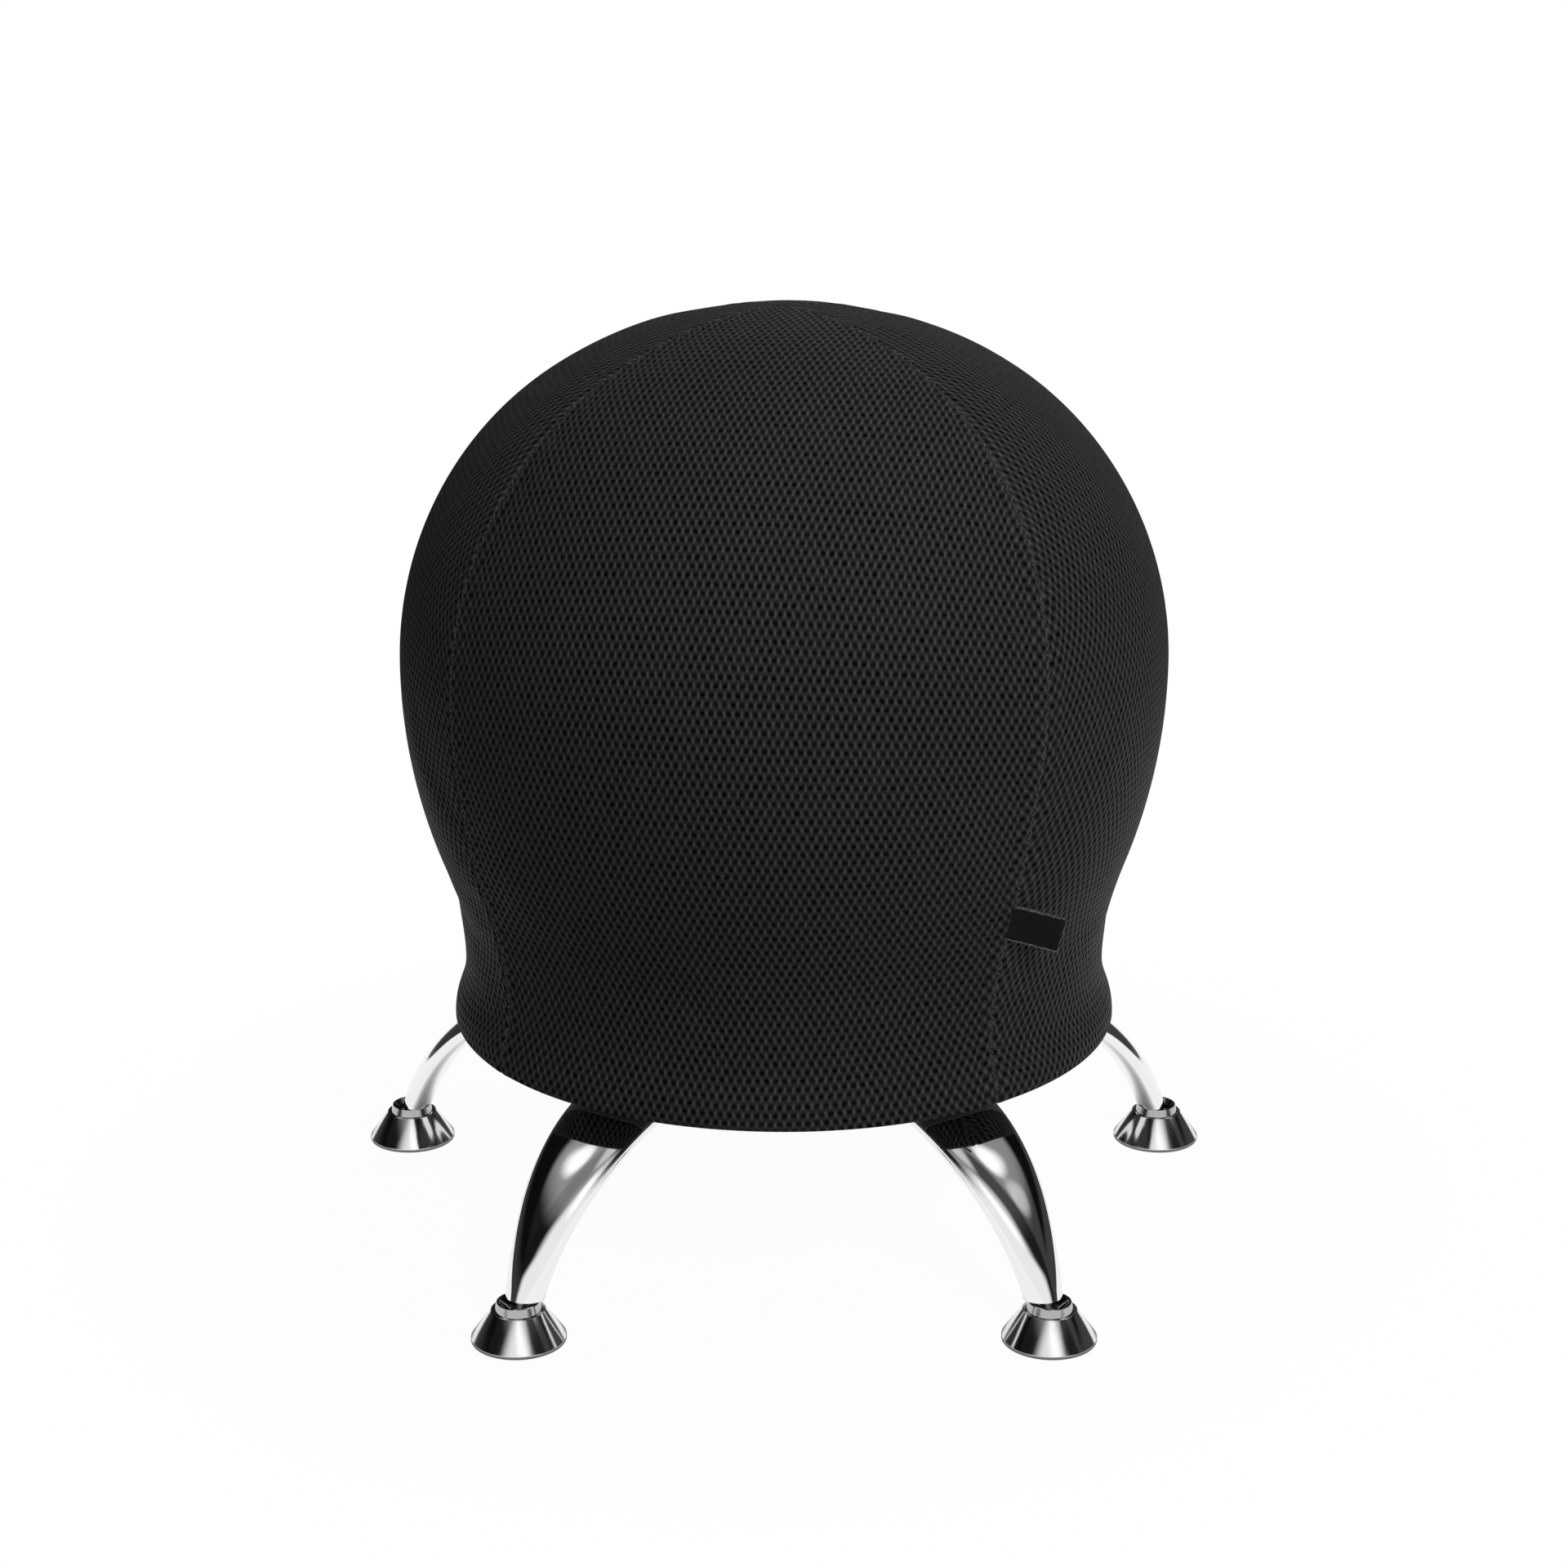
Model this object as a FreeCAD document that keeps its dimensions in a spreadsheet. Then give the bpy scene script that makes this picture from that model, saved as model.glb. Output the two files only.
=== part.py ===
import FreeCAD, Part
import math
import os

import Sketcher
from FreeCAD import Vector

# Ball stool: an inflated ball in a gored mesh cover, cradled by a dish on a round
# board that stands on five bent and tapered chromed legs with swivelling feet.
# Millimetres and degrees. Z is up from the floor and -Y is the front.
# One leg points straight back, so the seat's axis lies a little in front of the
# middle of the box that holds the feet, and the origin is that middle.

SIZES = {
    # feet
    "leg_count": 5,
    "foot_circle": 266.6,
    "foot_radius": 28.3,
    "foot_lip": 2.4,
    "foot_lip_start": 0.8,
    "foot_top_radius": 16.0,
    "foot_top_height": 20.5,
    "cap_rim_width": 2.8,
    "pad_height": 2.5,
    "pad_play": 0.1,
    "cap_floor": 2.0,
    "socket_play": 0.05,
    "cap_top_width": 2.0,
    "collar_shoulder": 2.4,
    "collar_taper": 1.3,
    "collar_edge": 1.2,
    "collar_rise": 4.7,
    "lip_height": 2.75,
    "lip_width": 0.8,
    "ball_height": 14.0,
    "stud_ball_radius": 6.0,
    "ball_play": 0.05,
    "stud_radius": 2.8,
    "stud_length": 22.0,
    "stud_lean_angle": 19.0,
    "collar_gap": 1.1,
    # legs
    "leg_straight": 48.93,
    "leg_thickness": 17.0,
    "leg_wall": 2.0,
    "leg_flat": 3.0,
    "leg_half_width": 30.4,
    "leg_end_spread": 2.8,
    "leg_taper_offset": 19.0,
    "plug_length": 14.0,
    "plug_play": 0.1,
    # mounting plates, bolts and tee nuts
    "plate_thickness": 4.0,
    "plate_hole_gap": 13.0,
    "plate_hem_gap": 19.7,
    "plate_inner_half": 14.0,
    "plate_corner": 6.0,
    "bolt_inner_edge": 11.0,
    "bolt_outer_edge": 14.0,
    "bolt_side_edge": 8.5,
    "bolt_leg_gap": 10.0,
    "bolt_side_gap": 7.1,
    "bolt_radius": 3.0,
    "bolt_play": 0.25,
    "bolt_short": 3.0,
    "bolt_head_size": 5.6,
    "bolt_head_height": 4.0,
    "nut_barrel_wall": 1.35,
    "nut_flange_width": 4.1,
    "nut_flange": 1.4,
    "nut_short": 6.0,
    "nut_play": 0.05,
    # base board and dish
    "board_thickness": 15.0,
    "hand_hole_radius": 48.0,
    "dish_wall": 4.0,
    "dish_rib_width": 3.0,
    "dish_lift": 2.0,
    # cover
    "gore_count": 4,
    "first_seam_angle": 307.0,
    "cover_radius": 238.3,
    "cover_wall": 2.6,
    "crown_drop": 23.7,
    "shoulder_drop": 9.6,
    "belly_over_neck": 194.1,
    "belly_arc": 350.0,
    "waist_depth": 35.8,
    "neck_over_rim": 38.6,
    "rim_flare": 8.3,
    "rim_arc": 39.9,
    "hem_fold": 0.4,
    "hem_width": 24.8,
    "soft_gap": 0.3,
    "casing_width": 14.0,
    "casing_height": 4.4,
    "casing_cloth": 1.0,
    "elastic_width": 9.0,
    "elastic_height": 1.6,
    # ball and valve
    "ball_wall": 1.8,
    "ball_belly_angle": 19.0,
    "ball_corner_arc": 75.0,
    "valve_hole_radius": 5.2,
    "valve_flange_width": 5.8,
    "valve_flange": 1.6,
    "valve_wall": 1.2,
    "valve_depth": 14.0,
    "valve_play": 0.05,
    "valve_pin_length": 16.0,
    "valve_head_width": 4.0,
    "valve_head": 2.2,
    # label
    "label_length": 31.0,
    "label_width": 20.0,
    "label_cloth": 0.5,
    "label_fold": 0.5,
    "label_drop": 118.35,
    "label_turn_angle": 53.0,
}

doc = FreeCAD.newDocument("BallStool")
sheet = doc.addObject("Spreadsheet::Sheet", "Sizes")
for row, (name, number) in enumerate(SIZES.items(), start=1):
    sheet.set("A%d" % row, name)
    sheet.set("B%d" % row, str(number))
    sheet.setAlias("B%d" % row, name)
doc.recompute()


class Size:
    """A size that knows both its worth and its formula in the sheet's names."""

    def __init__(self, worth, formula):
        self.worth = worth
        self.formula = formula

    def __add__(self, other):
        other = sized(other)
        return Size(self.worth + other.worth, "(%s + %s)" % (self.formula, other.formula))

    def __sub__(self, other):
        other = sized(other)
        return Size(self.worth - other.worth, "(%s - %s)" % (self.formula, other.formula))

    def __mul__(self, other):
        other = sized(other)
        return Size(self.worth * other.worth, "(%s * %s)" % (self.formula, other.formula))

    def __truediv__(self, other):
        other = sized(other)
        return Size(self.worth / other.worth, "(%s / %s)" % (self.formula, other.formula))

    def __rsub__(self, other):
        return sized(other) - self

    def __rtruediv__(self, other):
        return sized(other) / self

    def __neg__(self):
        return Size(-self.worth, "(-1 * %s)" % self.formula)

    __radd__ = __add__
    __rmul__ = __mul__


def sized(number):
    """A plain number as a Size."""
    if isinstance(number, Size):
        return number
    return Size(float(number), repr(float(number)))


def root(size):
    return Size(math.sqrt(size.worth), "sqrt(%s)" % size.formula)


def sine(angle):
    return Size(math.sin(math.radians(angle.worth)), "sin(%s * 1 deg)" % angle.formula)


def cosine(angle):
    return Size(math.cos(math.radians(angle.worth)), "cos(%s * 1 deg)" % angle.formula)


def side_of(longest, other):
    """The other short side of a right triangle."""
    return root(longest * longest - other * other)


class Sheet:
    """Reads a size from the sheet by its name, as in s.leg_wall."""

    def __getattr__(self, name):
        return Size(float(sheet.get(name)), "Sizes." + name)


s = Sheet()


# Places worked out from the driving sizes, from the floor up

pad_radius = s.foot_radius - s.cap_rim_width
collar_foot_radius = s.foot_top_radius - s.cap_top_width
collar_rim_radius = collar_foot_radius - s.collar_taper
socket_radius = collar_foot_radius - s.collar_shoulder
collar_height = s.foot_top_height + s.collar_rise
leg_end_height = collar_height + s.collar_gap

# A leg runs level from its inner end, then bends down until its end leans as the stud does
stud_rise = leg_end_height - s.ball_height
stud_run = stud_rise * sine(s.stud_lean_angle) / cosine(s.stud_lean_angle)
leg_end_radius = s.foot_circle - stud_run
plate_inner_end = s.hand_hole_radius + s.plate_hole_gap
bolt_inner_place = plate_inner_end + s.bolt_inner_edge
leg_inner_end = bolt_inner_place + s.bolt_leg_gap
bend_centre_radius = leg_inner_end + s.leg_straight
leg_bend_radius = (leg_end_radius - bend_centre_radius) / cosine(s.stud_lean_angle)
leg_outer_bend = leg_bend_radius + s.leg_thickness / 2
leg_inner_bend = leg_bend_radius - s.leg_thickness / 2
leg_axis_height = leg_end_height + leg_bend_radius * (1 - sine(s.stud_lean_angle))
bend_centre_height = leg_axis_height - leg_bend_radius
leg_top_height = leg_axis_height + s.leg_thickness / 2
leg_rounding = (s.leg_thickness - s.leg_flat) / 2

# In plan a leg is parallel as far as the taper's start, then narrows along an arc
leg_end_half = s.leg_thickness / 2 + s.leg_end_spread
leg_taper_start = bend_centre_radius + s.leg_taper_offset
taper_run = leg_end_radius - leg_taper_start
taper_drop = s.leg_half_width - leg_end_half
leg_taper_radius = (taper_run * taper_run + taper_drop * taper_drop) / (2 * taper_drop)

# Heights and radii of the base and the cover
board_bottom = leg_top_height + s.plate_thickness
board_top = board_bottom + s.board_thickness
neck_radius = s.cover_radius - s.waist_depth
rim_radius = neck_radius + s.rim_flare
rim_turn = s.cover_wall + s.hem_fold
hem_inner_radius = rim_radius - s.hem_width
hem_top = board_bottom - s.soft_gap
rim_height = hem_top - s.cover_wall + rim_turn
neck_height = rim_height + s.neck_over_rim
belly_height = neck_height + s.belly_over_neck
crown_over_belly = s.cover_radius - s.crown_drop
shoulder_radius = crown_over_belly - s.shoulder_drop
crown_height = belly_height + crown_over_belly
axis_y = -s.foot_circle * (1 - cosine(180.0 / s.leg_count)) / 2

# The mounting plate reaches from the hand hole towards the hem, with a bolt each side of the leg
plate_outer_end = hem_inner_radius - s.soft_gap - s.casing_width - s.plate_hem_gap
bolt_outer_place = plate_outer_end - s.bolt_outer_edge
bolt_side_place = s.leg_half_width + s.bolt_side_gap
plate_outer_half = bolt_side_place + s.bolt_side_edge
nut_bore_radius = s.bolt_radius + s.nut_play
nut_barrel_radius = nut_bore_radius + s.nut_barrel_wall
nut_flange_radius = nut_barrel_radius + s.nut_flange_width


def leg_angle(number):
    """Direction of a leg from +X: the first points straight back."""
    return 90.0 + number * 360.0 / s.leg_count


# Drawing helpers

def new_body(label):
    body = doc.addObject("PartDesign::Body", label)
    body.Label = label
    return body


def origin_feature(body, role):
    return [f for f in body.Origin.OriginFeatures if f.Role == role][0]


def new_sketch(body, name, plane="XZ_Plane", height=None):
    sketch = body.newObject("Sketcher::SketchObject", body.Label + "_" + name)
    sketch.AttachmentSupport = (origin_feature(body, plane), [""])
    sketch.MapMode = "FlatFace"
    if height is not None:
        sketch.setExpression("AttachmentOffset.Base.z", height.formula)
    return sketch


def tie(sketch, kind, formula, *where):
    """Adds one dimension to a sketch and binds it to the sheet."""
    index = sketch.addConstraint(Sketcher.Constraint(kind, *where))
    sketch.setExpression("Constraints[%d]" % index, formula)


def tie_point(sketch, edge, end, point):
    """Holds an edge's end at a place measured from the sketch's origin."""
    for kind, place, axis in (("DistanceX", point[0], -2), ("DistanceY", point[1], -1)):
        if place.formula in ("0.0", "0"):
            sketch.addConstraint(Sketcher.Constraint("PointOnObject", edge, end, axis))
        else:
            tie(sketch, kind, place.formula, -1, 1, edge, end, place.worth)


def line_to(x, y):
    return (sized(x), sized(y), None, 0)


def arc_to(x, y, radius, turn):
    """An arc of under half a circle that ends at x, y: turn is 1 to the left, -1 to the right."""
    return (sized(x), sized(y), sized(radius), turn)


def arc_shape(start, end, radius, turn):
    chord = end - start
    middle = (start + end) / 2
    across = Vector(-chord.y, chord.x, 0)
    across.normalize()
    reach = math.sqrt(max(radius ** 2 - (chord.Length / 2) ** 2, 0))
    centre = middle + across * reach * turn
    ends = (start, end) if turn > 0 else (end, start)
    angles = [math.atan2(p.y - centre.y, p.x - centre.x) for p in ends]
    return Part.ArcOfCircle(Part.Circle(centre, Vector(0, 0, 1), radius), angles[0], angles[1])


def draw_outline(sketch, steps):
    """Draws a closed outline: every step ends at a point tied to the sheet, the last where it began."""
    ends = [(Vector(step[0].worth, step[1].worth, 0), step) for step in steps]
    start = ends[-1][0]
    first = None
    previous = None
    for end, step in ends:
        radius = step[2]
        if radius is None:
            edge = sketch.addGeometry(Part.LineSegment(start, end))
            begin_end, finish_end = 1, 2
        else:
            edge = sketch.addGeometry(arc_shape(start, end, radius.worth, step[3]))
            begin_end, finish_end = (1, 2) if step[3] > 0 else (2, 1)
            tie(sketch, "Radius", radius.formula, edge, radius.worth)
        if previous is None:
            first = (edge, begin_end)
        else:
            sketch.addConstraint(Sketcher.Constraint("Coincident", *previous, edge, begin_end))
        tie_point(sketch, edge, finish_end, step)
        previous = (edge, finish_end)
        start = end
    sketch.addConstraint(Sketcher.Constraint("Coincident", *previous, *first))


def draw_circle(sketch, x, y, radius):
    x, y, radius = sized(x), sized(y), sized(radius)
    circle = Part.Circle(Vector(x.worth, y.worth, 0), Vector(0, 0, 1), radius.worth)
    edge = sketch.addGeometry(circle)
    tie_point(sketch, edge, 3, (x, y))
    tie(sketch, "Radius", radius.formula, edge, radius.worth)


def place(item, angle=None, height=None, radius=None):
    """Puts a sub-part on the seat's axis, turned about it, and perhaps out along its own X."""
    angle = sized(0) if angle is None else angle
    height = sized(0) if height is None else height
    radius = sized(0) if radius is None else radius
    x = radius * cosine(angle)
    y = axis_y + radius * sine(angle)
    formula = "placement(vector(%s; %s; %s); rotation(vector(0; 0; 1); %s))"
    item.setExpression("Placement", formula % (x.formula, y.formula, height.formula, angle.formula))


def revolve(label, steps, angle=None):
    """A body turned about Z from an outline in its XZ plane."""
    body = new_body(label)
    sketch = new_sketch(body, "profile")
    draw_outline(sketch, steps)
    turn = body.newObject("PartDesign::Revolution", label + "_turn")
    turn.Profile = sketch
    turn.ReferenceAxis = (sketch, ["V_Axis"])
    turn.Angle = 360
    if angle is not None:
        turn.setExpression("Angle", angle.formula)
    return body


def pad(body, sketch, length, symmetric=False):
    feature = body.newObject("PartDesign::Pad", sketch.Label + "_pad")
    feature.Profile = sketch
    feature.SideType = "Symmetric" if symmetric else "One side"
    feature.setExpression("Length", length.formula)
    return feature


def pocket_through(body, sketch):
    feature = body.newObject("PartDesign::Pocket", sketch.Label + "_pocket")
    feature.Profile = sketch
    feature.Type = "ThroughAll"
    feature.SideType = "Symmetric"
    return feature


def repeat_round(body, features, count):
    pattern = body.newObject("PartDesign::PolarPattern", body.Label + "_pattern")
    pattern.Originals = features
    pattern.Axis = (origin_feature(body, "Z_Axis"), [""])
    pattern.Angle = 360
    pattern.setExpression("Occurrences", count.formula)
    body.Tip = pattern
    return pattern


# Cover: the outline shared by the gores, the dish and the ball

def two_arc_sum(width, height):
    """The radii of two arcs that join two upright edges in an S add up to this."""
    return (width * width + height * height) / (width + width)


shoulder_centre = s.cover_radius - shoulder_radius
crown_radius = (
    s.cover_radius * s.cover_radius + crown_over_belly * crown_over_belly
    - 2 * s.cover_radius * shoulder_radius
) / (2 * s.shoulder_drop)
crown_centre = crown_height - crown_radius
belly_centre = s.cover_radius - s.belly_arc
waist_sum = two_arc_sum(s.waist_depth, s.belly_over_neck)
neck_arc = waist_sum - s.belly_arc
skirt_sum = two_arc_sum(s.rim_flare, s.neck_over_rim)
skirt_arc = skirt_sum - s.rim_arc
skirt_centre = neck_radius + skirt_arc
rim_centre = rim_radius - s.rim_arc


def shoulder_point(inset):
    """Where the crown's arc meets the shoulder's, this far inside the cover's face."""
    share = (crown_radius - inset) / (crown_radius - shoulder_radius)
    return share * shoulder_centre, crown_centre + share * (belly_height - crown_centre)


def waist_point(inset):
    """Where the belly's arc meets the neck's."""
    share = (s.belly_arc - inset) / waist_sum
    x = belly_centre + share * (neck_radius + neck_arc - belly_centre)
    return x, belly_height - share * s.belly_over_neck


def skirt_point(inset):
    """Where the skirt's hollow arc meets the rim's round one."""
    share = (skirt_arc + inset) / skirt_sum
    x = skirt_centre - share * (skirt_centre - rim_centre)
    return x, neck_height - share * s.neck_over_rim


def make_gore(number):
    """One cloth gore: crown, shoulder, belly, neck and skirt, turned under the rim."""
    wall = s.cover_wall
    turn = rim_turn
    outside = [
        arc_to(*shoulder_point(0), crown_radius, -1),
        arc_to(s.cover_radius, belly_height, shoulder_radius, -1),
        arc_to(*waist_point(0), s.belly_arc, -1),
        arc_to(neck_radius, neck_height, neck_arc, 1),
        arc_to(*skirt_point(0), skirt_arc, 1),
        arc_to(rim_radius, rim_height, s.rim_arc, -1),
        arc_to(rim_radius - turn, rim_height - turn, turn, -1),
        line_to(hem_inner_radius, hem_top - wall),
        line_to(hem_inner_radius, hem_top),
    ]
    inside = [
        line_to(rim_radius - turn, hem_top),
        arc_to(rim_radius - wall, rim_height, turn - wall, 1),
        arc_to(*skirt_point(wall), s.rim_arc - wall, 1),
        arc_to(neck_radius - wall, neck_height, skirt_arc + wall, -1),
        arc_to(*waist_point(wall), neck_arc + wall, -1),
        arc_to(s.cover_radius - wall, belly_height, s.belly_arc - wall, 1),
        arc_to(*shoulder_point(wall), shoulder_radius - wall, 1),
        arc_to(0, crown_height - wall, crown_radius - wall, 1),
        line_to(0, crown_height),
    ]
    gore = revolve("cover_gore_%d" % (number + 1), outside + inside, 360.0 / s.gore_count)
    place(gore, s.first_seam_angle + number * 360.0 / s.gore_count)
    return gore


def make_ring(label, inner, outer, low, high):
    ring = revolve(label, [
        line_to(outer, low),
        line_to(outer, high),
        line_to(inner, high),
        line_to(inner, low),
    ])
    place(ring)
    return ring


def make_hem_casing():
    """A folded cloth channel inside the cover's hem, open at its inner edge."""
    outer = hem_inner_radius - s.soft_gap
    inner = outer - s.casing_width
    low = hem_top - s.casing_height
    casing = revolve("hem_casing", [
        line_to(outer, low),
        line_to(outer, hem_top),
        line_to(inner, hem_top),
        line_to(inner, hem_top - s.casing_cloth),
        line_to(outer - s.casing_cloth, hem_top - s.casing_cloth),
        line_to(outer - s.casing_cloth, low + s.casing_cloth),
        line_to(inner, low + s.casing_cloth),
        line_to(inner, low),
    ])
    place(casing)
    return casing


def make_hem_elastic():
    outer = hem_inner_radius - s.soft_gap * 2 - s.casing_cloth
    middle = hem_top - s.casing_height / 2
    half = s.elastic_height / 2
    return make_ring("hem_elastic", outer - s.elastic_width, outer, middle - half, middle + half)


# Base board and dish

def make_board():
    """A round board whose edge follows the inside of the cover's rim."""
    gap = s.cover_wall + s.soft_gap
    edge_arc = s.rim_arc - gap
    edge_rise = board_top - rim_height
    low_rise = rim_height - board_bottom
    board = revolve("base_board", [
        line_to(rim_centre + side_of(edge_arc, low_rise), board_bottom),
        arc_to(rim_centre + side_of(edge_arc, edge_rise), board_top, edge_arc, 1),
        line_to(s.hand_hole_radius, board_top),
        line_to(s.hand_hole_radius, board_bottom),
    ])
    holes = new_sketch(board, "holes", "XY_Plane", board_top)
    for x, y in bolt_places():
        draw_circle(holes, x, y, nut_barrel_radius + s.nut_play)
    drilled = pocket_through(board, holes)
    repeat_round(board, [drilled], s.leg_count)
    place(board, leg_angle(0))
    return board


def ball_arcs():
    """The lower half of the ball: the corner arc's centre, the bottom arc's radius and centre."""
    belly = s.belly_arc - s.cover_wall - s.soft_gap
    reach = belly - s.ball_corner_arc
    corner_x = belly_centre + reach * cosine(s.ball_belly_angle)
    corner_z = belly_height - reach * sine(s.ball_belly_angle)
    rise = corner_z - ball_bottom
    bottom_arc = (
        corner_x * corner_x + rise * rise - s.ball_corner_arc * s.ball_corner_arc
    ) / (2 * (rise - s.ball_corner_arc))
    return corner_x, corner_z, bottom_arc, ball_bottom + bottom_arc


ball_bottom = board_top + s.dish_lift + s.dish_wall + s.soft_gap
corner_x, corner_z, bottom_arc, bottom_centre = ball_arcs()


def bowl_height(radius, inset):
    """How high the ball's underside is at a radius, this far outside the ball."""
    return bottom_centre - side_of(bottom_arc + inset, radius)


def make_dish():
    """A moulded dish: bowl, flat shelf and a wall inside the cover's neck, with a rib between legs."""
    wall = s.dish_wall
    gap = s.soft_gap
    bowl = bottom_arc + gap
    shelf_drop = bottom_centre - neck_height
    lip = side_of(bowl, shelf_drop)
    under_lip = side_of(bowl + wall, shelf_drop + wall)
    edge = skirt_arc + s.cover_wall + gap
    foot_rise = neck_height - board_top
    foot_radius = skirt_centre - side_of(edge, foot_rise)
    under_radius = skirt_centre - side_of(edge + wall, foot_rise)
    under_shelf = skirt_centre - side_of(edge + wall, wall)
    hole = s.hand_hole_radius
    dish = revolve("ball_dish", [
        line_to(foot_radius, board_top),
        arc_to(skirt_centre - edge, neck_height, edge, -1),
        line_to(lip, neck_height),
        arc_to(hole, bowl_height(hole, gap), bowl, -1),
        line_to(hole, board_top),
        line_to(hole + wall, board_top),
        line_to(hole + wall, bowl_height(hole + wall, gap + wall)),
        arc_to(under_lip, neck_height - wall, bowl + wall, 1),
        line_to(under_shelf, neck_height - wall),
        arc_to(under_radius, board_top, edge + wall, 1),
    ])
    rib = new_sketch(dish, "rib")
    draw_outline(rib, [
        line_to(under_radius + wall / 2, board_top),
        line_to(under_shelf + wall / 2, neck_height - wall / 2),
        line_to(under_lip, neck_height - wall / 2),
        arc_to(hole + wall / 2, bowl_height(hole + wall / 2, gap + wall / 2), bowl + wall / 2, -1),
        line_to(hole + wall / 2, board_top),
    ])
    web = pad(dish, rib, s.dish_rib_width, symmetric=True)
    repeat_round(dish, [web], s.leg_count)
    place(dish, leg_angle(0.5))
    return dish


# Ball and valve

def make_ball():
    """A thick skin that fills the cover above and rests in the dish below."""
    skin = s.ball_wall
    gap = s.cover_wall + s.soft_gap
    belly = s.belly_arc - gap
    hole = s.valve_hole_radius
    share = bottom_arc / (bottom_arc - s.ball_corner_arc)

    def belly_end(inset):
        reach = belly - inset
        x = belly_centre + reach * cosine(s.ball_belly_angle)
        return x, belly_height - reach * sine(s.ball_belly_angle)

    def corner_end(inset):
        part = (bottom_arc - inset) / bottom_arc * share
        return part * corner_x, bottom_centre + part * (corner_z - bottom_centre)

    ball = revolve("inflatable_ball", [
        arc_to(*shoulder_point(gap), crown_radius - gap, -1),
        arc_to(s.cover_radius - gap, belly_height, shoulder_radius - gap, -1),
        arc_to(*belly_end(0), belly, -1),
        arc_to(*corner_end(0), s.ball_corner_arc, -1),
        arc_to(hole, bottom_centre - side_of(bottom_arc, hole), bottom_arc, -1),
        line_to(hole, bottom_centre - side_of(bottom_arc - skin, hole)),
        arc_to(*corner_end(skin), bottom_arc - skin, 1),
        arc_to(*belly_end(skin), s.ball_corner_arc - skin, 1),
        arc_to(s.cover_radius - gap - skin, belly_height, belly - skin, 1),
        arc_to(*shoulder_point(gap + skin), shoulder_radius - gap - skin, 1),
        arc_to(0, crown_height - gap - skin, crown_radius - gap - skin, 1),
        line_to(0, crown_height - gap),
    ])
    place(ball)
    return ball


def make_valve():
    """A rubber valve seat: its neck sits in the ball's hole and its flange lies inside."""
    neck = s.valve_hole_radius - s.valve_play
    bore = s.valve_hole_radius - s.valve_wall
    top = ball_bottom + s.ball_wall + s.valve_play
    valve = revolve("ball_valve", [
        line_to(neck, ball_bottom),
        line_to(neck, top + s.valve_flange / 2),
        line_to(s.valve_hole_radius + s.valve_flange_width, top + s.valve_flange / 2),
        line_to(s.valve_hole_radius + s.valve_flange_width, top + s.valve_flange * 3 / 2),
        line_to(neck, top + s.valve_flange * 3 / 2),
        line_to(neck, ball_bottom + s.valve_depth),
        line_to(bore, ball_bottom + s.valve_depth),
        line_to(bore, ball_bottom),
    ])
    place(valve)
    return valve


def make_valve_plug():
    """A pull-out pin with a round head and a pointed tip."""
    pin = s.valve_hole_radius - s.valve_wall - s.valve_play
    head = pin + s.valve_head_width
    head_top = ball_bottom - s.valve_play
    tip = head_top + s.valve_pin_length
    plug = revolve("valve_plug", [
        line_to(head - s.valve_head / 3, head_top - s.valve_head),
        line_to(head, head_top - s.valve_head * 2 / 3),
        line_to(head, head_top),
        line_to(pin, head_top),
        line_to(pin, tip - pin / 2),
        line_to(pin / 2, tip),
        line_to(0, tip),
        line_to(0, head_top - s.valve_head),
    ])
    place(plug)
    return plug


# Legs

def bent_bar(label, inset, inner_end, height=None):
    """A bar bent down to the foot, tapered in plan, with rounded edges; height cuts it off level."""
    outer = leg_outer_bend - inset
    inner = leg_inner_bend + inset
    centre_x = bend_centre_radius
    centre_z = bend_centre_height
    end_drop = leg_end_height - centre_z
    bar = new_body(label)
    side = new_sketch(bar, "side")
    end = [
        line_to(centre_x + side_of(inner, end_drop), leg_end_height),
        line_to(centre_x + side_of(outer, end_drop), leg_end_height),
    ]
    if height is None:
        draw_outline(side, [
            line_to(centre_x, centre_z + inner),
            arc_to(*end[0][:2], inner, -1),
            end[1],
            arc_to(centre_x, centre_z + outer, outer, 1),
            line_to(inner_end, centre_z + outer),
            line_to(inner_end, centre_z + inner),
        ])
    else:
        cut = height - centre_z
        draw_outline(side, [
            arc_to(*end[0][:2], inner, -1),
            end[1],
            arc_to(centre_x + side_of(outer, cut), height, outer, 1),
            line_to(centre_x + side_of(inner, cut), height),
        ])
    slab = pad(bar, side, 2 * (s.leg_half_width + s.leg_wall), symmetric=True)

    half = s.leg_half_width - inset
    tip = centre_x + leg_outer_bend + s.leg_wall
    taper = leg_taper_radius - inset
    tip_half = half - (taper - side_of(taper, tip - leg_taper_start))
    back = leg_inner_end - 2 * s.leg_wall
    frame_half = s.leg_half_width + 2 * s.leg_wall
    plan = new_sketch(bar, "plan", "XY_Plane", leg_axis_height)
    draw_outline(plan, [
        line_to(tip + s.leg_wall, -frame_half),
        line_to(tip + s.leg_wall, frame_half),
        line_to(back - s.leg_wall, frame_half),
        line_to(back - s.leg_wall, -frame_half),
    ])
    draw_outline(plan, [
        line_to(leg_taper_start, -half),
        arc_to(tip, -tip_half, taper, 1),
        line_to(tip, tip_half),
        arc_to(leg_taper_start, half, taper, 1),
        line_to(back, half),
        line_to(back, -half),
    ])
    trim = pocket_through(bar, plan)
    doc.recompute()
    if trim.Shape.Volume >= slab.Shape.Volume:
        raise RuntimeError(label + ": the plan outline trimmed nothing")
    rounding = bar.newObject("PartDesign::Fillet", label + "_rounding")
    rounding.Base = (trim, long_edges(trim.Shape))
    rounding.setExpression("Radius", (leg_rounding - inset).formula)
    return bar


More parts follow.
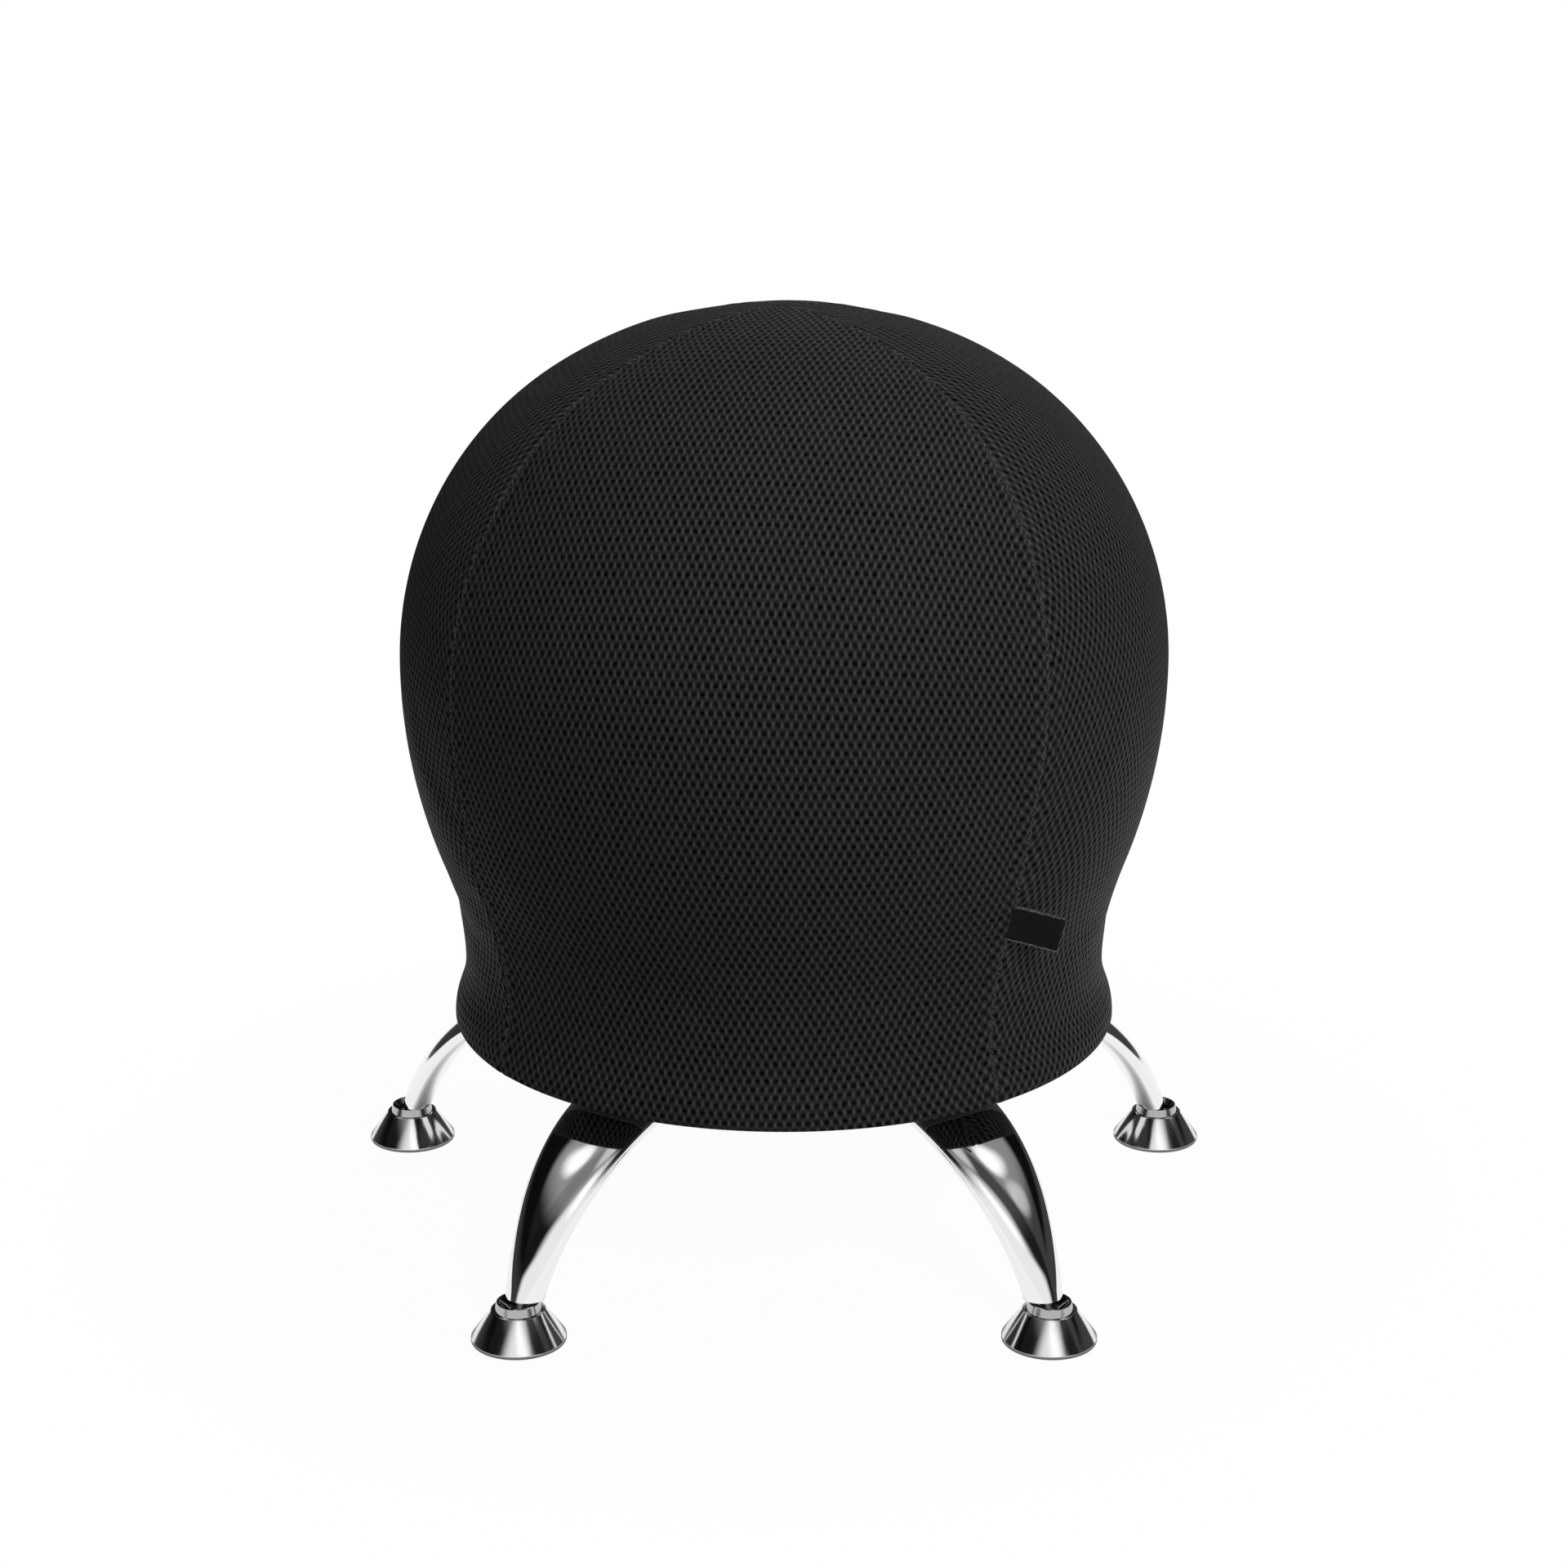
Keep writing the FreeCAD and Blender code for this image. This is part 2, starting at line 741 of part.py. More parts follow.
def long_edges(shape):
    """Names of the edges along a bar where its top or underside meets its sides."""
    names = []
    underside = (leg_axis_height - s.leg_thickness).worth
    for number, edge in enumerate(shape.Edges, start=1):
        box = edge.BoundBox
        middle = edge.valueAt((edge.FirstParameter + edge.LastParameter) / 2)
        runs_along = box.XLength > s.leg_wall.worth
        at_side = abs(middle.y) > s.leg_wall.worth
        cut_level = box.ZLength < 1e-6 and box.ZMax < underside
        if runs_along and at_side and not cut_level:
            names.append("Edge%d" % number)
    return names


def make_leg(number):
    """A bent tube, closed at its inner end and open at the foot."""
    label = "leg_%d" % (number + 1)
    outside = bent_bar(label + "_outside", sized(0), leg_inner_end)
    hollow = bent_bar(label + "_hollow", s.leg_wall, leg_inner_end + s.leg_wall)
    leg = doc.addObject("Part::Cut", label)
    leg.Label = label
    leg.Base = outside
    leg.Tool = hollow
    place(leg, leg_angle(number))
    return leg


def make_stud(label):
    """A ball on a stem that leans in line with the end of the leg."""
    ball = doc.addObject("Part::Sphere", label + "_ball")
    ball.setExpression("Radius", s.stud_ball_radius.formula)
    stem = doc.addObject("Part::Cylinder", label + "_stem")
    stem.setExpression("Radius", s.stud_radius.formula)
    stem.setExpression("Height", s.stud_length.formula)
    stud = doc.addObject("Part::Fuse", label)
    stud.Base = ball
    stud.Tool = stem
    return stud


def stud_placement(number):
    angle = leg_angle(number)
    x = s.foot_circle * cosine(angle)
    y = axis_y + s.foot_circle * sine(angle)
    text = "placement(vector(%s; %s; %s); rotation(vector(0; 0; 1); %s) * rotation(vector(0; 1; 0); -%s))"
    return text % (x.formula, y.formula, s.ball_height.formula, angle.formula, s.stud_lean_angle.formula)


def group(label, items):
    """Several like solids under one name."""
    bundle = doc.addObject("Part::Compound", label)
    bundle.Label = label
    bundle.Links = items
    return bundle


def make_ball_studs():
    studs = []
    for number in range(int(s.leg_count.worth)):
        stud = make_stud("stud_%d" % (number + 1))
        stud.setExpression("Placement", stud_placement(number))
        studs.append(stud)
    return group("ball_studs", studs)


def make_plug(number):
    """Fills the leg's open end and holds the stud's stem."""
    label = "stud_plug_%d" % (number + 1)
    inset = s.leg_wall + s.plug_play
    block = bent_bar(label + "_block", inset, leg_inner_end, leg_end_height + s.plug_length)
    hole = doc.addObject("Part::Cylinder", label + "_hole")
    hole.setExpression("Radius", (s.stud_radius + s.ball_play).formula)
    hole.setExpression("Height", (s.stud_length + s.ball_play).formula)
    text = "placement(vector(%s; 0; %s); rotation(vector(0; 1; 0); -%s))"
    hole.setExpression("Placement", text % (
        s.foot_circle.formula, s.ball_height.formula, s.stud_lean_angle.formula))
    plug = doc.addObject("Part::Cut", label)
    plug.Label = label
    plug.Base = block
    plug.Tool = hole
    place(plug, leg_angle(number))
    return plug


# Mounting plates, bolts and tee nuts

def bolt_places():
    """One bolt inboard of the leg and one each side of it, for a leg along X."""
    return [
        (bolt_inner_place, sized(0)),
        (bolt_outer_place, bolt_side_place),
        (bolt_outer_place, -bolt_side_place),
    ]


def make_plate(number):
    """A flat plate, narrow inboard and wide outboard, between the leg and the board."""
    plate = new_body("leg_plate_%d" % (number + 1))
    outline = new_sketch(plate, "outline", "XY_Plane", leg_top_height)
    draw_outline(outline, [
        line_to(plate_outer_end, -plate_outer_half),
        line_to(plate_outer_end, plate_outer_half),
        line_to(bolt_outer_place - s.plate_corner * 2, plate_outer_half),
        line_to(plate_inner_end, s.plate_inner_half),
        line_to(plate_inner_end, -s.plate_inner_half),
        line_to(bolt_outer_place - s.plate_corner * 2, -plate_outer_half),
    ])
    for x, y in bolt_places():
        draw_circle(outline, x, y, s.bolt_radius + s.bolt_play)
    sheet_metal = pad(plate, outline, s.plate_thickness)
    doc.recompute()
    corners = []
    for number_of_edge, edge in enumerate(sheet_metal.Shape.Edges, start=1):
        upright = edge.BoundBox.ZLength > s.plate_thickness.worth - 0.01
        if upright and len(edge.Vertexes) == 2:
            corners.append("Edge%d" % number_of_edge)
    rounding = plate.newObject("PartDesign::Fillet", plate.Label + "_corners")
    rounding.Base = (sheet_metal, corners)
    rounding.setExpression("Radius", s.plate_corner.formula)
    place(plate, leg_angle(number))
    return plate


def make_bolts():
    """Three bolts for each leg, put in from below."""
    bolts = new_body("leg_bolts")
    heads = new_sketch(bolts, "heads", "XY_Plane", leg_top_height - s.bolt_head_height)
    for x, y in bolt_places():
        hexagon = []
        for corner in range(6):
            turn = sized(60.0 * corner)
            hexagon.append(line_to(x + s.bolt_head_size * cosine(turn), y + s.bolt_head_size * sine(turn)))
        draw_outline(heads, hexagon)
    head_pad = pad(bolts, heads, s.bolt_head_height)
    shanks = new_sketch(bolts, "shanks", "XY_Plane", leg_top_height)
    for x, y in bolt_places():
        draw_circle(shanks, x, y, s.bolt_radius)
    shank_pad = pad(bolts, shanks, s.plate_thickness + s.board_thickness - s.bolt_short)
    repeat_round(bolts, [head_pad, shank_pad], s.leg_count)
    place(bolts, leg_angle(0))
    return bolts


def make_tee_nuts():
    """Flanged barrels let into the board from above, one for each bolt."""
    nuts = new_body("tee_nuts")
    flanges = new_sketch(nuts, "flanges", "XY_Plane", board_top)
    barrel_length = s.board_thickness - s.nut_short
    barrels = new_sketch(nuts, "barrels", "XY_Plane", board_top - barrel_length)
    for x, y in bolt_places():
        draw_circle(flanges, x, y, nut_flange_radius)
        draw_circle(flanges, x, y, nut_bore_radius)
        draw_circle(barrels, x, y, nut_barrel_radius)
        draw_circle(barrels, x, y, nut_bore_radius)
    flange_pad = pad(nuts, flanges, s.nut_flange)
    barrel_pad = pad(nuts, barrels, barrel_length)
    repeat_round(nuts, [flange_pad, barrel_pad], s.leg_count)
    place(nuts, leg_angle(0))
    return nuts


# Feet

def make_foot_cap(number):
    """A conical cap with an upright lip, a bore for the socket and a seat for the pad."""
    seat = pad_radius + s.pad_play
    floor = s.pad_height + s.cap_floor
    cap = revolve("foot_cap_%d" % (number + 1), [
        line_to(s.foot_radius, s.foot_lip_start),
        line_to(s.foot_radius, s.foot_lip_start + s.foot_lip),
        line_to(s.foot_top_radius, s.foot_top_height),
        line_to(socket_radius, s.foot_top_height),
        line_to(socket_radius, floor),
        line_to(0, floor),
        line_to(0, s.pad_height),
        line_to(seat, s.pad_height),
        line_to(seat, s.foot_lip_start),
    ])
    place(cap, leg_angle(number), radius=s.foot_circle)
    return cap


def make_foot_socket(number):
    """A socket that snaps over the stud's ball, with a collar that stands out of the cap."""
    bore = s.stud_ball_radius + s.ball_play
    floor = s.pad_height + s.cap_floor
    lip = s.ball_height + s.lip_height
    lip_radius = side_of(bore, s.lip_height)
    shoulder = s.foot_top_height + s.socket_play
    socket = revolve("foot_socket_%d" % (number + 1), [
        line_to(socket_radius - s.socket_play, floor),
        line_to(socket_radius - s.socket_play, shoulder),
        line_to(collar_foot_radius, shoulder),
        line_to(collar_rim_radius, collar_height),
        line_to(collar_rim_radius - s.collar_edge, collar_height),
        line_to(lip_radius, lip + s.lip_width),
        line_to(lip_radius, lip),
        arc_to(0, s.ball_height - bore, bore, -1),
        line_to(0, floor),
    ])
    place(socket, leg_angle(number), radius=s.foot_circle)
    return socket


def make_foot_pad(number):
    """A glide pad pressed into the cap's underside: it is what stands on the floor."""
    disc = revolve("foot_pad_%d" % (number + 1), [
        line_to(pad_radius, 0),
        line_to(pad_radius, s.pad_height),
        line_to(0, s.pad_height),
        line_to(0, 0),
    ])
    place(disc, leg_angle(number), radius=s.foot_circle)
    return disc


# Label

def seam_place(drop):
    """The cover's radius this far below the belly, and the cosine and sine of its lean there."""
    waist_drop = s.belly_over_neck * s.belly_arc / waist_sum
    if drop.worth < waist_drop.worth:
        reach = side_of(s.belly_arc, drop)
        return belly_centre + reach, reach / s.belly_arc, drop / s.belly_arc
    rise = s.belly_over_neck - drop
    reach = side_of(neck_arc, rise)
    return neck_radius + neck_arc - reach, reach / neck_arc, rise / neck_arc


def make_label():
    """A bare cloth label folded in two, sewn along the first seam and square to it."""
    label = new_body("seam_label")
    cloth = s.label_cloth
    half = s.label_fold / 2
    ends = s.label_length
    outline = new_sketch(label, "fold", "XY_Plane", -s.label_width / 2)
    draw_outline(outline, [
        line_to(0, -half - cloth),
        line_to(ends - half - cloth, -half - cloth),
        arc_to(ends, 0, half + cloth, 1),
        arc_to(ends - half - cloth, half + cloth, half + cloth, 1),
        line_to(0, half + cloth),
        line_to(0, half),
        line_to(ends - half - cloth, half),
        arc_to(ends - cloth, 0, half, -1),
        arc_to(ends - half - cloth, -half, half, -1),
        line_to(0, -half),
    ])
    pad(label, outline, s.label_width)
    seam_radius, reach_share, rise_share = seam_place(s.label_drop)
    stand = s.soft_gap + (half + cloth) * sine(s.label_turn_angle)
    radius = seam_radius + stand * reach_share
    height = belly_height - s.label_drop - stand * rise_share
    x = radius * cosine(s.first_seam_angle)
    y = axis_y + radius * sine(s.first_seam_angle)
    lean = Size(math.degrees(math.asin(rise_share.worth)), "asin(%s) / 1 deg" % rise_share.formula)
    turns = "rotation(vector(0; 0; 1); %s) * rotation(vector(0; 1; 0); %s) * rotation(vector(0; 0; 1); %s)"
    turns = turns % (s.first_seam_angle.formula, lean.formula, s.label_turn_angle.formula)
    text = "placement(vector(%s; %s; %s); %s)"
    label.setExpression("Placement", text % (x.formula, y.formula, height.formula, turns))
    return label


def make_parts():
    legs = range(int(s.leg_count.worth))
    gores = range(int(s.gore_count.worth))
    parts = [make_gore(number) for number in gores]
    parts += [make_hem_casing(), make_hem_elastic(), make_label()]
    parts += [make_ball(), make_valve(), make_valve_plug()]
    parts += [make_board(), make_dish(), make_bolts(), make_tee_nuts()]
    parts += [make_leg(number) for number in legs]
    parts += [make_plate(number) for number in legs]
    parts += [make_plug(number) for number in legs]
    parts += [make_ball_studs()]
    for number in legs:
        parts += [make_foot_cap(number), make_foot_socket(number), make_foot_pad(number)]
    return parts


def check_and_write(parts):
    doc.recompute()
    for item in doc.Objects:
        if "Invalid" in item.State or "Error" in item.State:
            raise RuntimeError("%s failed: %s" % (item.Name, item.State))
    for item in parts:
        if item.Shape.isNull() or not item.Shape.isValid():
            raise RuntimeError(item.Label + " has no valid shape")
    os.makedirs("parts", exist_ok=True)
    for item in parts:
        item.Shape.exportStep(os.path.join("parts", item.Label + ".step"))
    print("%d sub-parts written" % len(parts))


check_and_write(make_parts())
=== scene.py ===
"""Office stool: a mesh-covered ball on five chromed legs, dressed and lit for the camera."""

import math

import bmesh
import bpy
import numpy as np
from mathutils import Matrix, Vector
from mathutils.bvhtree import BVHTree
from mathutils.kdtree import KDTree


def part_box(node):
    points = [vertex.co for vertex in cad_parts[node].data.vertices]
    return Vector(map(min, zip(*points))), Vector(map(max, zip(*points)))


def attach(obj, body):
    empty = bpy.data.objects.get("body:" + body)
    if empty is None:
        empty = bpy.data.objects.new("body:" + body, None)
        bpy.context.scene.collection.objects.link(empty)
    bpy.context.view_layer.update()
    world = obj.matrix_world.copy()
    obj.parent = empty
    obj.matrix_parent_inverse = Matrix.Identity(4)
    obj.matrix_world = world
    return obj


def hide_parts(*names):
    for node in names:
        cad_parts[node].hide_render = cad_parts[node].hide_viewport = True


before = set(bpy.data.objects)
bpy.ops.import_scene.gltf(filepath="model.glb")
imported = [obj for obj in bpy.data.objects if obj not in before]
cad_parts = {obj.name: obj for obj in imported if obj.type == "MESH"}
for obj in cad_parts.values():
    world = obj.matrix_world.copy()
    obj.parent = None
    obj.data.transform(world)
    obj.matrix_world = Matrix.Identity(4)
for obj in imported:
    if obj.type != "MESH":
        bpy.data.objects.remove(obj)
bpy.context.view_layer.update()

MM = 0.001
LEGS = 5
GORES = 4

# Places read from the imported parts, and the circle of the feet as given, in metres

board_low, board_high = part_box("base_board")
AXIS = Vector(((board_low.x + board_high.x) / 2, (board_low.y + board_high.y) / 2, 0))
BOARD_BOTTOM = board_low.z
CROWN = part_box("cover_gore_1")[1].z
FOOT_CIRCLE = 266.6 * MM

# The cover's driving sizes, as the construction has them

COVER_RADIUS = 238.3 * MM
CROWN_DROP = 23.7 * MM
SHOULDER_DROP = 9.6 * MM
BELLY_OVER_NECK = 194.1 * MM
BELLY_ARC = 350 * MM
WAIST_DEPTH = 35.8 * MM
NECK_OVER_RIM = 38.6 * MM
RIM_FLARE = 8.3 * MM
RIM_ARC = 39.9 * MM
CLOTH = 2.6 * MM
HEM_TURN = 3 * MM
HEM_WIDTH = 24.8 * MM
HEM_EDGE_RETURN = 6 * MM
FIRST_SEAM = math.radians(307)
SOFT_GAP = 0.3 * MM

crown_over_belly = COVER_RADIUS - CROWN_DROP
belly_height = CROWN - crown_over_belly
neck_height = belly_height - BELLY_OVER_NECK
rim_height = neck_height - NECK_OVER_RIM
shoulder_radius = crown_over_belly - SHOULDER_DROP
neck_radius = COVER_RADIUS - WAIST_DEPTH
rim_radius = neck_radius + RIM_FLARE
hem_inner_radius = rim_radius - HEM_WIDTH


# Mesh helpers

def new_object(name, vertices, faces, body="stool"):
    """A mesh object that rides on a body."""
    mesh = bpy.data.meshes.new(name)
    mesh.from_pydata([tuple(v) for v in vertices], [], faces)
    mesh.validate()
    mesh.update()
    piece = bpy.data.objects.new(name, mesh)
    bpy.context.scene.collection.objects.link(piece)
    if body:
        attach(piece, body)
    return piece


def round_point(radius, angle, height, centre=AXIS):
    """A point at a distance, an angle and a height about an upright axis."""
    return (centre.x + radius * math.cos(angle), centre.y + radius * math.sin(angle), height)


def full_turn(count):
    return [2 * math.pi * k / count for k in range(count)]


def ways(angle):
    """The level directions outward and sideways at an angle round the seat's axis."""
    return Vector((math.cos(angle), math.sin(angle), 0)), Vector((-math.sin(angle), math.cos(angle), 0))


def up(height):
    return Vector((0, 0, height))


def leg_angle(number):
    return math.radians(90 + number * 360 / LEGS)


def shade(piece, sharp_degrees=None):
    mesh = piece.data
    mesh.polygons.foreach_set("use_smooth", [True] * len(mesh.polygons))
    if sharp_degrees is not None:
        mesh.set_sharp_from_angle(angle=math.radians(sharp_degrees))
    return piece


def outward(piece):
    """Turns every face of a closed mesh outward."""
    work = bmesh.new()
    work.from_mesh(piece.data)
    bmesh.ops.recalc_face_normals(work, faces=work.faces)
    work.to_mesh(piece.data)
    work.free()
    return piece


def round_grid(rings, closed_round=True, closed_rows=False):
    """Faces between rows of equally many points."""
    rows, columns = rings
    faces = []
    for row in range(rows if closed_rows else rows - 1):
        above = (row + 1) % rows
        for column in range(columns if closed_round else columns - 1):
            beside = (column + 1) % columns
            faces.append((
                row * columns + column, row * columns + beside,
                above * columns + beside, above * columns + column))
    return faces


def tube_faces(first, stations, sides):
    """Faces of a closed tube whose points start at an index: its wall and its two ends."""
    faces = [tuple(first + corner for corner in face) for face in round_grid((stations, sides))]
    faces.append(tuple(first + k for k in reversed(range(sides))))
    faces.append(tuple(first + (stations - 1) * sides + k for k in range(sides)))
    return faces


def arc_points(centre, radius, start, end, step):
    """Points along an arc in degrees, with the last left to the arc that follows."""
    count = max(2, math.ceil(abs(math.radians(end - start)) * radius / step))
    angles = [math.radians(start + (end - start) * i / count) for i in range(count)]
    return [(centre[0] + radius * math.cos(a), centre[1] + radius * math.sin(a)) for a in angles]


def lathe(name, outline, centre, body, segments=96, sharp=40):
    """A closed outline of radius and height turned about an upright axis."""
    turns = full_turn(segments)
    vertices = [round_point(radius, a, height, centre) for radius, height in outline for a in turns]
    faces = round_grid((len(outline), segments), closed_rows=True)
    return shade(outward(new_object(name, vertices, faces, body)), sharp)


# Material helpers

class Shader:
    """A procedural material with short calls for its nodes."""

    def __init__(self, name, **values):
        self.material = bpy.data.materials.new(name)
        self.material.use_nodes = True
        self.tree = self.material.node_tree
        self.surface = self.tree.nodes["Principled BSDF"]
        for socket, value in values.items():
            self.surface.inputs[socket.replace("_", " ")].default_value = value

    def node(self, kind, **settings):
        made = self.tree.nodes.new(kind)
        for name, value in settings.items():
            setattr(made, name, value)
        return made

    def join(self, value, socket):
        if isinstance(value, bpy.types.NodeSocket):
            self.tree.links.new(value, socket)
        elif value is not None:
            socket.default_value = value

    def math(self, operation, first, second=None, third=None):
        made = self.node("ShaderNodeMath", operation=operation)
        for value, socket in zip((first, second, third), made.inputs):
            self.join(value, socket)
        return made.outputs[0]

    def times(self, first, second):
        return self.math("MULTIPLY", first, second)

    def plus(self, first, second):
        return self.math("ADD", first, second)

    def minus(self, first, second):
        return self.math("SUBTRACT", first, second)

    def scaled(self, value, factor, start):
        return self.math("MULTIPLY_ADD", value, factor, start)

    def larger(self, first, second):
        return self.math("MAXIMUM", first, second)

    def absolute(self, value):
        return self.math("ABSOLUTE", value)

    def power(self, value, exponent):
        return self.math("POWER", value, exponent)

    def distance(self, first, second):
        return self.math("SQRT", self.plus(self.power(first, 2.0), self.power(second, 2.0)))

    def smooth(self, value, low, high, out_low=0.0, out_high=1.0):
        made = self.node("ShaderNodeMapRange", interpolation_type="SMOOTHSTEP")
        for place, item in zip(("Value", "From Min", "From Max", "To Min", "To Max"),
                               (value, low, high, out_low, out_high)):
            self.join(item, made.inputs[place])
        return made.outputs["Result"]

    def blend(self, share, first, second):
        made = self.node("ShaderNodeMix", data_type="RGBA")
        self.join(share, made.inputs["Factor"])
        self.join(first, made.inputs[6])
        self.join(second, made.inputs[7])
        return made.outputs[2]

    def noise(self, scale, detail=3.0, rough=0.55, place=None):
        made = self.node("ShaderNodeTexNoise")
        made.inputs["Scale"].default_value = scale
        made.inputs["Detail"].default_value = detail
        made.inputs["Roughness"].default_value = rough
        self.join(place if place is not None else self.place(), made.inputs["Vector"])
        return made.outputs["Fac"]

    def place(self):
        return self.node("ShaderNodeTexCoord").outputs["Object"]

    def stretch(self, x, y, z):
        made = self.node("ShaderNodeMapping")
        made.inputs["Scale"].default_value = (x, y, z)
        self.join(self.place(), made.inputs["Vector"])
        return made.outputs["Vector"]

    def split(self, vector):
        made = self.node("ShaderNodeSeparateXYZ")
        self.join(vector, made.inputs[0])
        return made.outputs

    def attribute(self, name):
        return self.node("ShaderNodeAttribute", attribute_name=name).outputs["Vector"]

    def put(self, socket, value):
        self.join(value, self.surface.inputs[socket])

    def bump(self, height, distance, strength=1.0):
        made = self.node("ShaderNodeBump")
        made.inputs["Distance"].default_value = distance
        made.inputs["Strength"].default_value = strength
        self.join(height, made.inputs["Height"])
        self.put("Normal", made.outputs["Normal"])


def grey(level, blue=0.0):
    """A neutral colour, a trace bluer if asked."""
    return (level, level, level + blue, 1)


def darker(colour, share):
    return tuple(c * share for c in colour[:3]) + (1,)


# The mesh's holes, as shares of their spacing across and along, and the threads counted per hole
HOLE_LEAN = 0.4
HOLE_HALF_WIDTH = 0.255
HOLE_WIDTH_CHANCE = 0.05
HOLE_HALF_HEIGHT = 0.335
HOLE_POWER = 2.1
HOLE_ROOT = 0.476
RIBS_PER_HOLE = 6
LOOPS_PER_HOLE = 5


def cloth_shader():
    """Black spacer mesh: staggered oval holes between knitted ribs, with closed cloth along the seams."""
    s = Shader(
        "spacer_mesh", Sheen_Weight=0.055, Sheen_Roughness=0.4, Sheen_Tint=(0.62, 0.63, 0.65, 1),
        Specular_IOR_Level=0.015)
    u, v, seam = s.split(s.attribute("holes"))
    row = s.math("ROUND", v)
    stagger = s.times(s.math("FLOORED_MODULO", row, 2.0), 0.5)
    shifted = s.minus(u, stagger)
    column = s.math("ROUND", shifted)
    across = s.minus(shifted, column)
    along = s.minus(v, row)

    cell = s.node("ShaderNodeCombineXYZ")
    s.join(column, cell.inputs[0])
    s.join(row, cell.inputs[1])
    chance = s.node("ShaderNodeTexWhiteNoise", noise_dimensions="2D")
    s.join(cell.outputs[0], chance.inputs["Vector"])
    chances = s.split(chance.outputs["Color"])

    # Each hole is an oval, a little uneven in width, lean and depth; a deeper hole is also painted darker,
    # as shade
    lean = s.times(s.minus(chances[0], 0.5), HOLE_LEAN)
    across = s.scaled(along, lean, across)
    width = s.scaled(chances[1], HOLE_WIDTH_CHANCE, HOLE_HALF_WIDTH)
    sideways = s.power(s.absolute(s.math("DIVIDE", across, width)), HOLE_POWER)
    upward = s.power(s.absolute(s.math("DIVIDE", along, HOLE_HALF_HEIGHT)), HOLE_POWER)
    oval = s.power(s.plus(sideways, upward), HOLE_ROOT)
    hole = s.smooth(oval, 1.5, 0.42)
    hole = s.times(hole, s.scaled(chances[2], 0.22, 0.78))
    closed = s.noise(260, 2.0)
    hole = s.times(hole, s.smooth(s.scaled(closed, 2.4, seam), 1.7, 3.0))

    # Knitted ribs run up between the holes, with loops across them; the ribs get a painted highlight and the
    # knit's hollows painted shade
    ribs = s.math("COSINE", s.times(u, 2 * math.pi * RIBS_PER_HOLE))
    loops = s.math("COSINE", s.times(v, 2 * math.pi * LOOPS_PER_HOLE))
    knit = s.scaled(s.times(ribs, loops), 0.5, 0.5)
    painted_rib_highlight = s.times(s.smooth(s.absolute(across), 0.28, 0.48),
                 s.smooth(s.absolute(along), 0.55, 0.10))
    between_rows = s.smooth(s.absolute(along), 0.28, 0.5, 1.0, 0.82)
    fuzz = s.noise(900, 2.0)
    patches = s.noise(9, 2.0)

    # The bars between the holes are a painted highlight; the cloth is also darker midway between rows
    tone = s.times(s.scaled(painted_rib_highlight, 0.62, 0.36), between_rows)
    # The knit's tone follows its bump: painted light on the loops and painted shade in the hollows
    tone = s.times(tone, s.scaled(knit, 0.3, 0.82))
    tone = s.times(tone, s.scaled(fuzz, 0.6, 0.7))
    tone = s.times(tone, s.scaled(patches, 0.24, 0.88))
    edging = s.times(s.smooth(seam, 1.4, 0.3), s.smooth(closed, 0.46, 0.66))
    tone = s.larger(tone, edging)
    yarn = s.blend(tone, grey(0.005, 0.0001), grey(0.076, 0.002))
    # The holes' near-black colour is painted shade inside them
    s.put("Base Color", s.blend(hole, yarn, grey(0.0024, 0.0001)))
    s.put("Roughness", s.scaled(hole, 0.52, 0.44))
    height = s.minus(s.times(knit, 0.12), hole)
    s.bump(height, 0.85 * MM, 0.85)
    return s.material


def thread_shader(name, colour, rate):
    s = Shader(name, Roughness=0.62, Sheen_Weight=0.25)
    ply = s.node("ShaderNodeTexWave", bands_direction="DIAGONAL")
    ply.inputs["Scale"].default_value = rate
    s.join(s.place(), ply.inputs["Vector"])
    # The thread's tone follows its ply bump: painted shade in the grooves between strands
    s.put("Base Color", s.blend(ply.outputs["Fac"], darker(colour, 0.55), colour))
    s.bump(ply.outputs["Fac"], 0.1 * MM)
    return s.material


def woven_shader(name, colour, pitch, sheen=0.3, edge=None):
    """A plain weave of ribs one way and fine threads the other, from the piece's own weave map."""
    s = Shader(name, Roughness=0.75, Sheen_Weight=sheen, Specular_IOR_Level=0.15)
    u, v, rim = s.split(s.attribute("weave"))
    first = s.math("SINE", s.times(u, 2 * math.pi / pitch))
    second = s.math("SINE", s.times(v, 2 * math.pi / pitch))
    over = s.scaled(s.times(first, second), 0.5, 0.5)
    worn = s.noise(160, 3.0)
    # The weave's tone follows its bump: painted shade where the threads dip under, with a random worn tone
    # over it
    tone = s.times(s.scaled(over, 0.4, 0.6), s.scaled(worn, 0.5, 0.75))
    made = s.blend(tone, darker(colour, 0.35), colour)
    # An edge colour, where given, is a painted highlight along the piece's edges, broken up by noise
    if edge:
        broken_edge_highlight = s.smooth(s.noise(700, 2.0), 0.3, 0.62, 0.3, 1.0)
        made = s.blend(s.times(s.smooth(rim, 0.90, 0.955), broken_edge_highlight), made, edge)
    s.put("Base Color", made)
    s.bump(over, 0.15 * MM)
    return s.material


def chrome_shader(name, colour, rough):
    """Polished chrome with faint polishing waves, fingerprints and dust in the roughness."""
    s = Shader(name, Metallic=1.0, Base_Color=colour)
    smear = s.noise(26, 5.0, 0.62)
    dust = s.noise(420, 2.0)
    s.put("Roughness", s.plus(s.smooth(smear, 0.35, 0.8, rough, rough + 0.06),
                              s.smooth(dust, 0.62, 0.85, 0.0, 0.05)))
    s.bump(s.noise(38, 1.0), 0.06 * MM, 0.35)
    return s.material


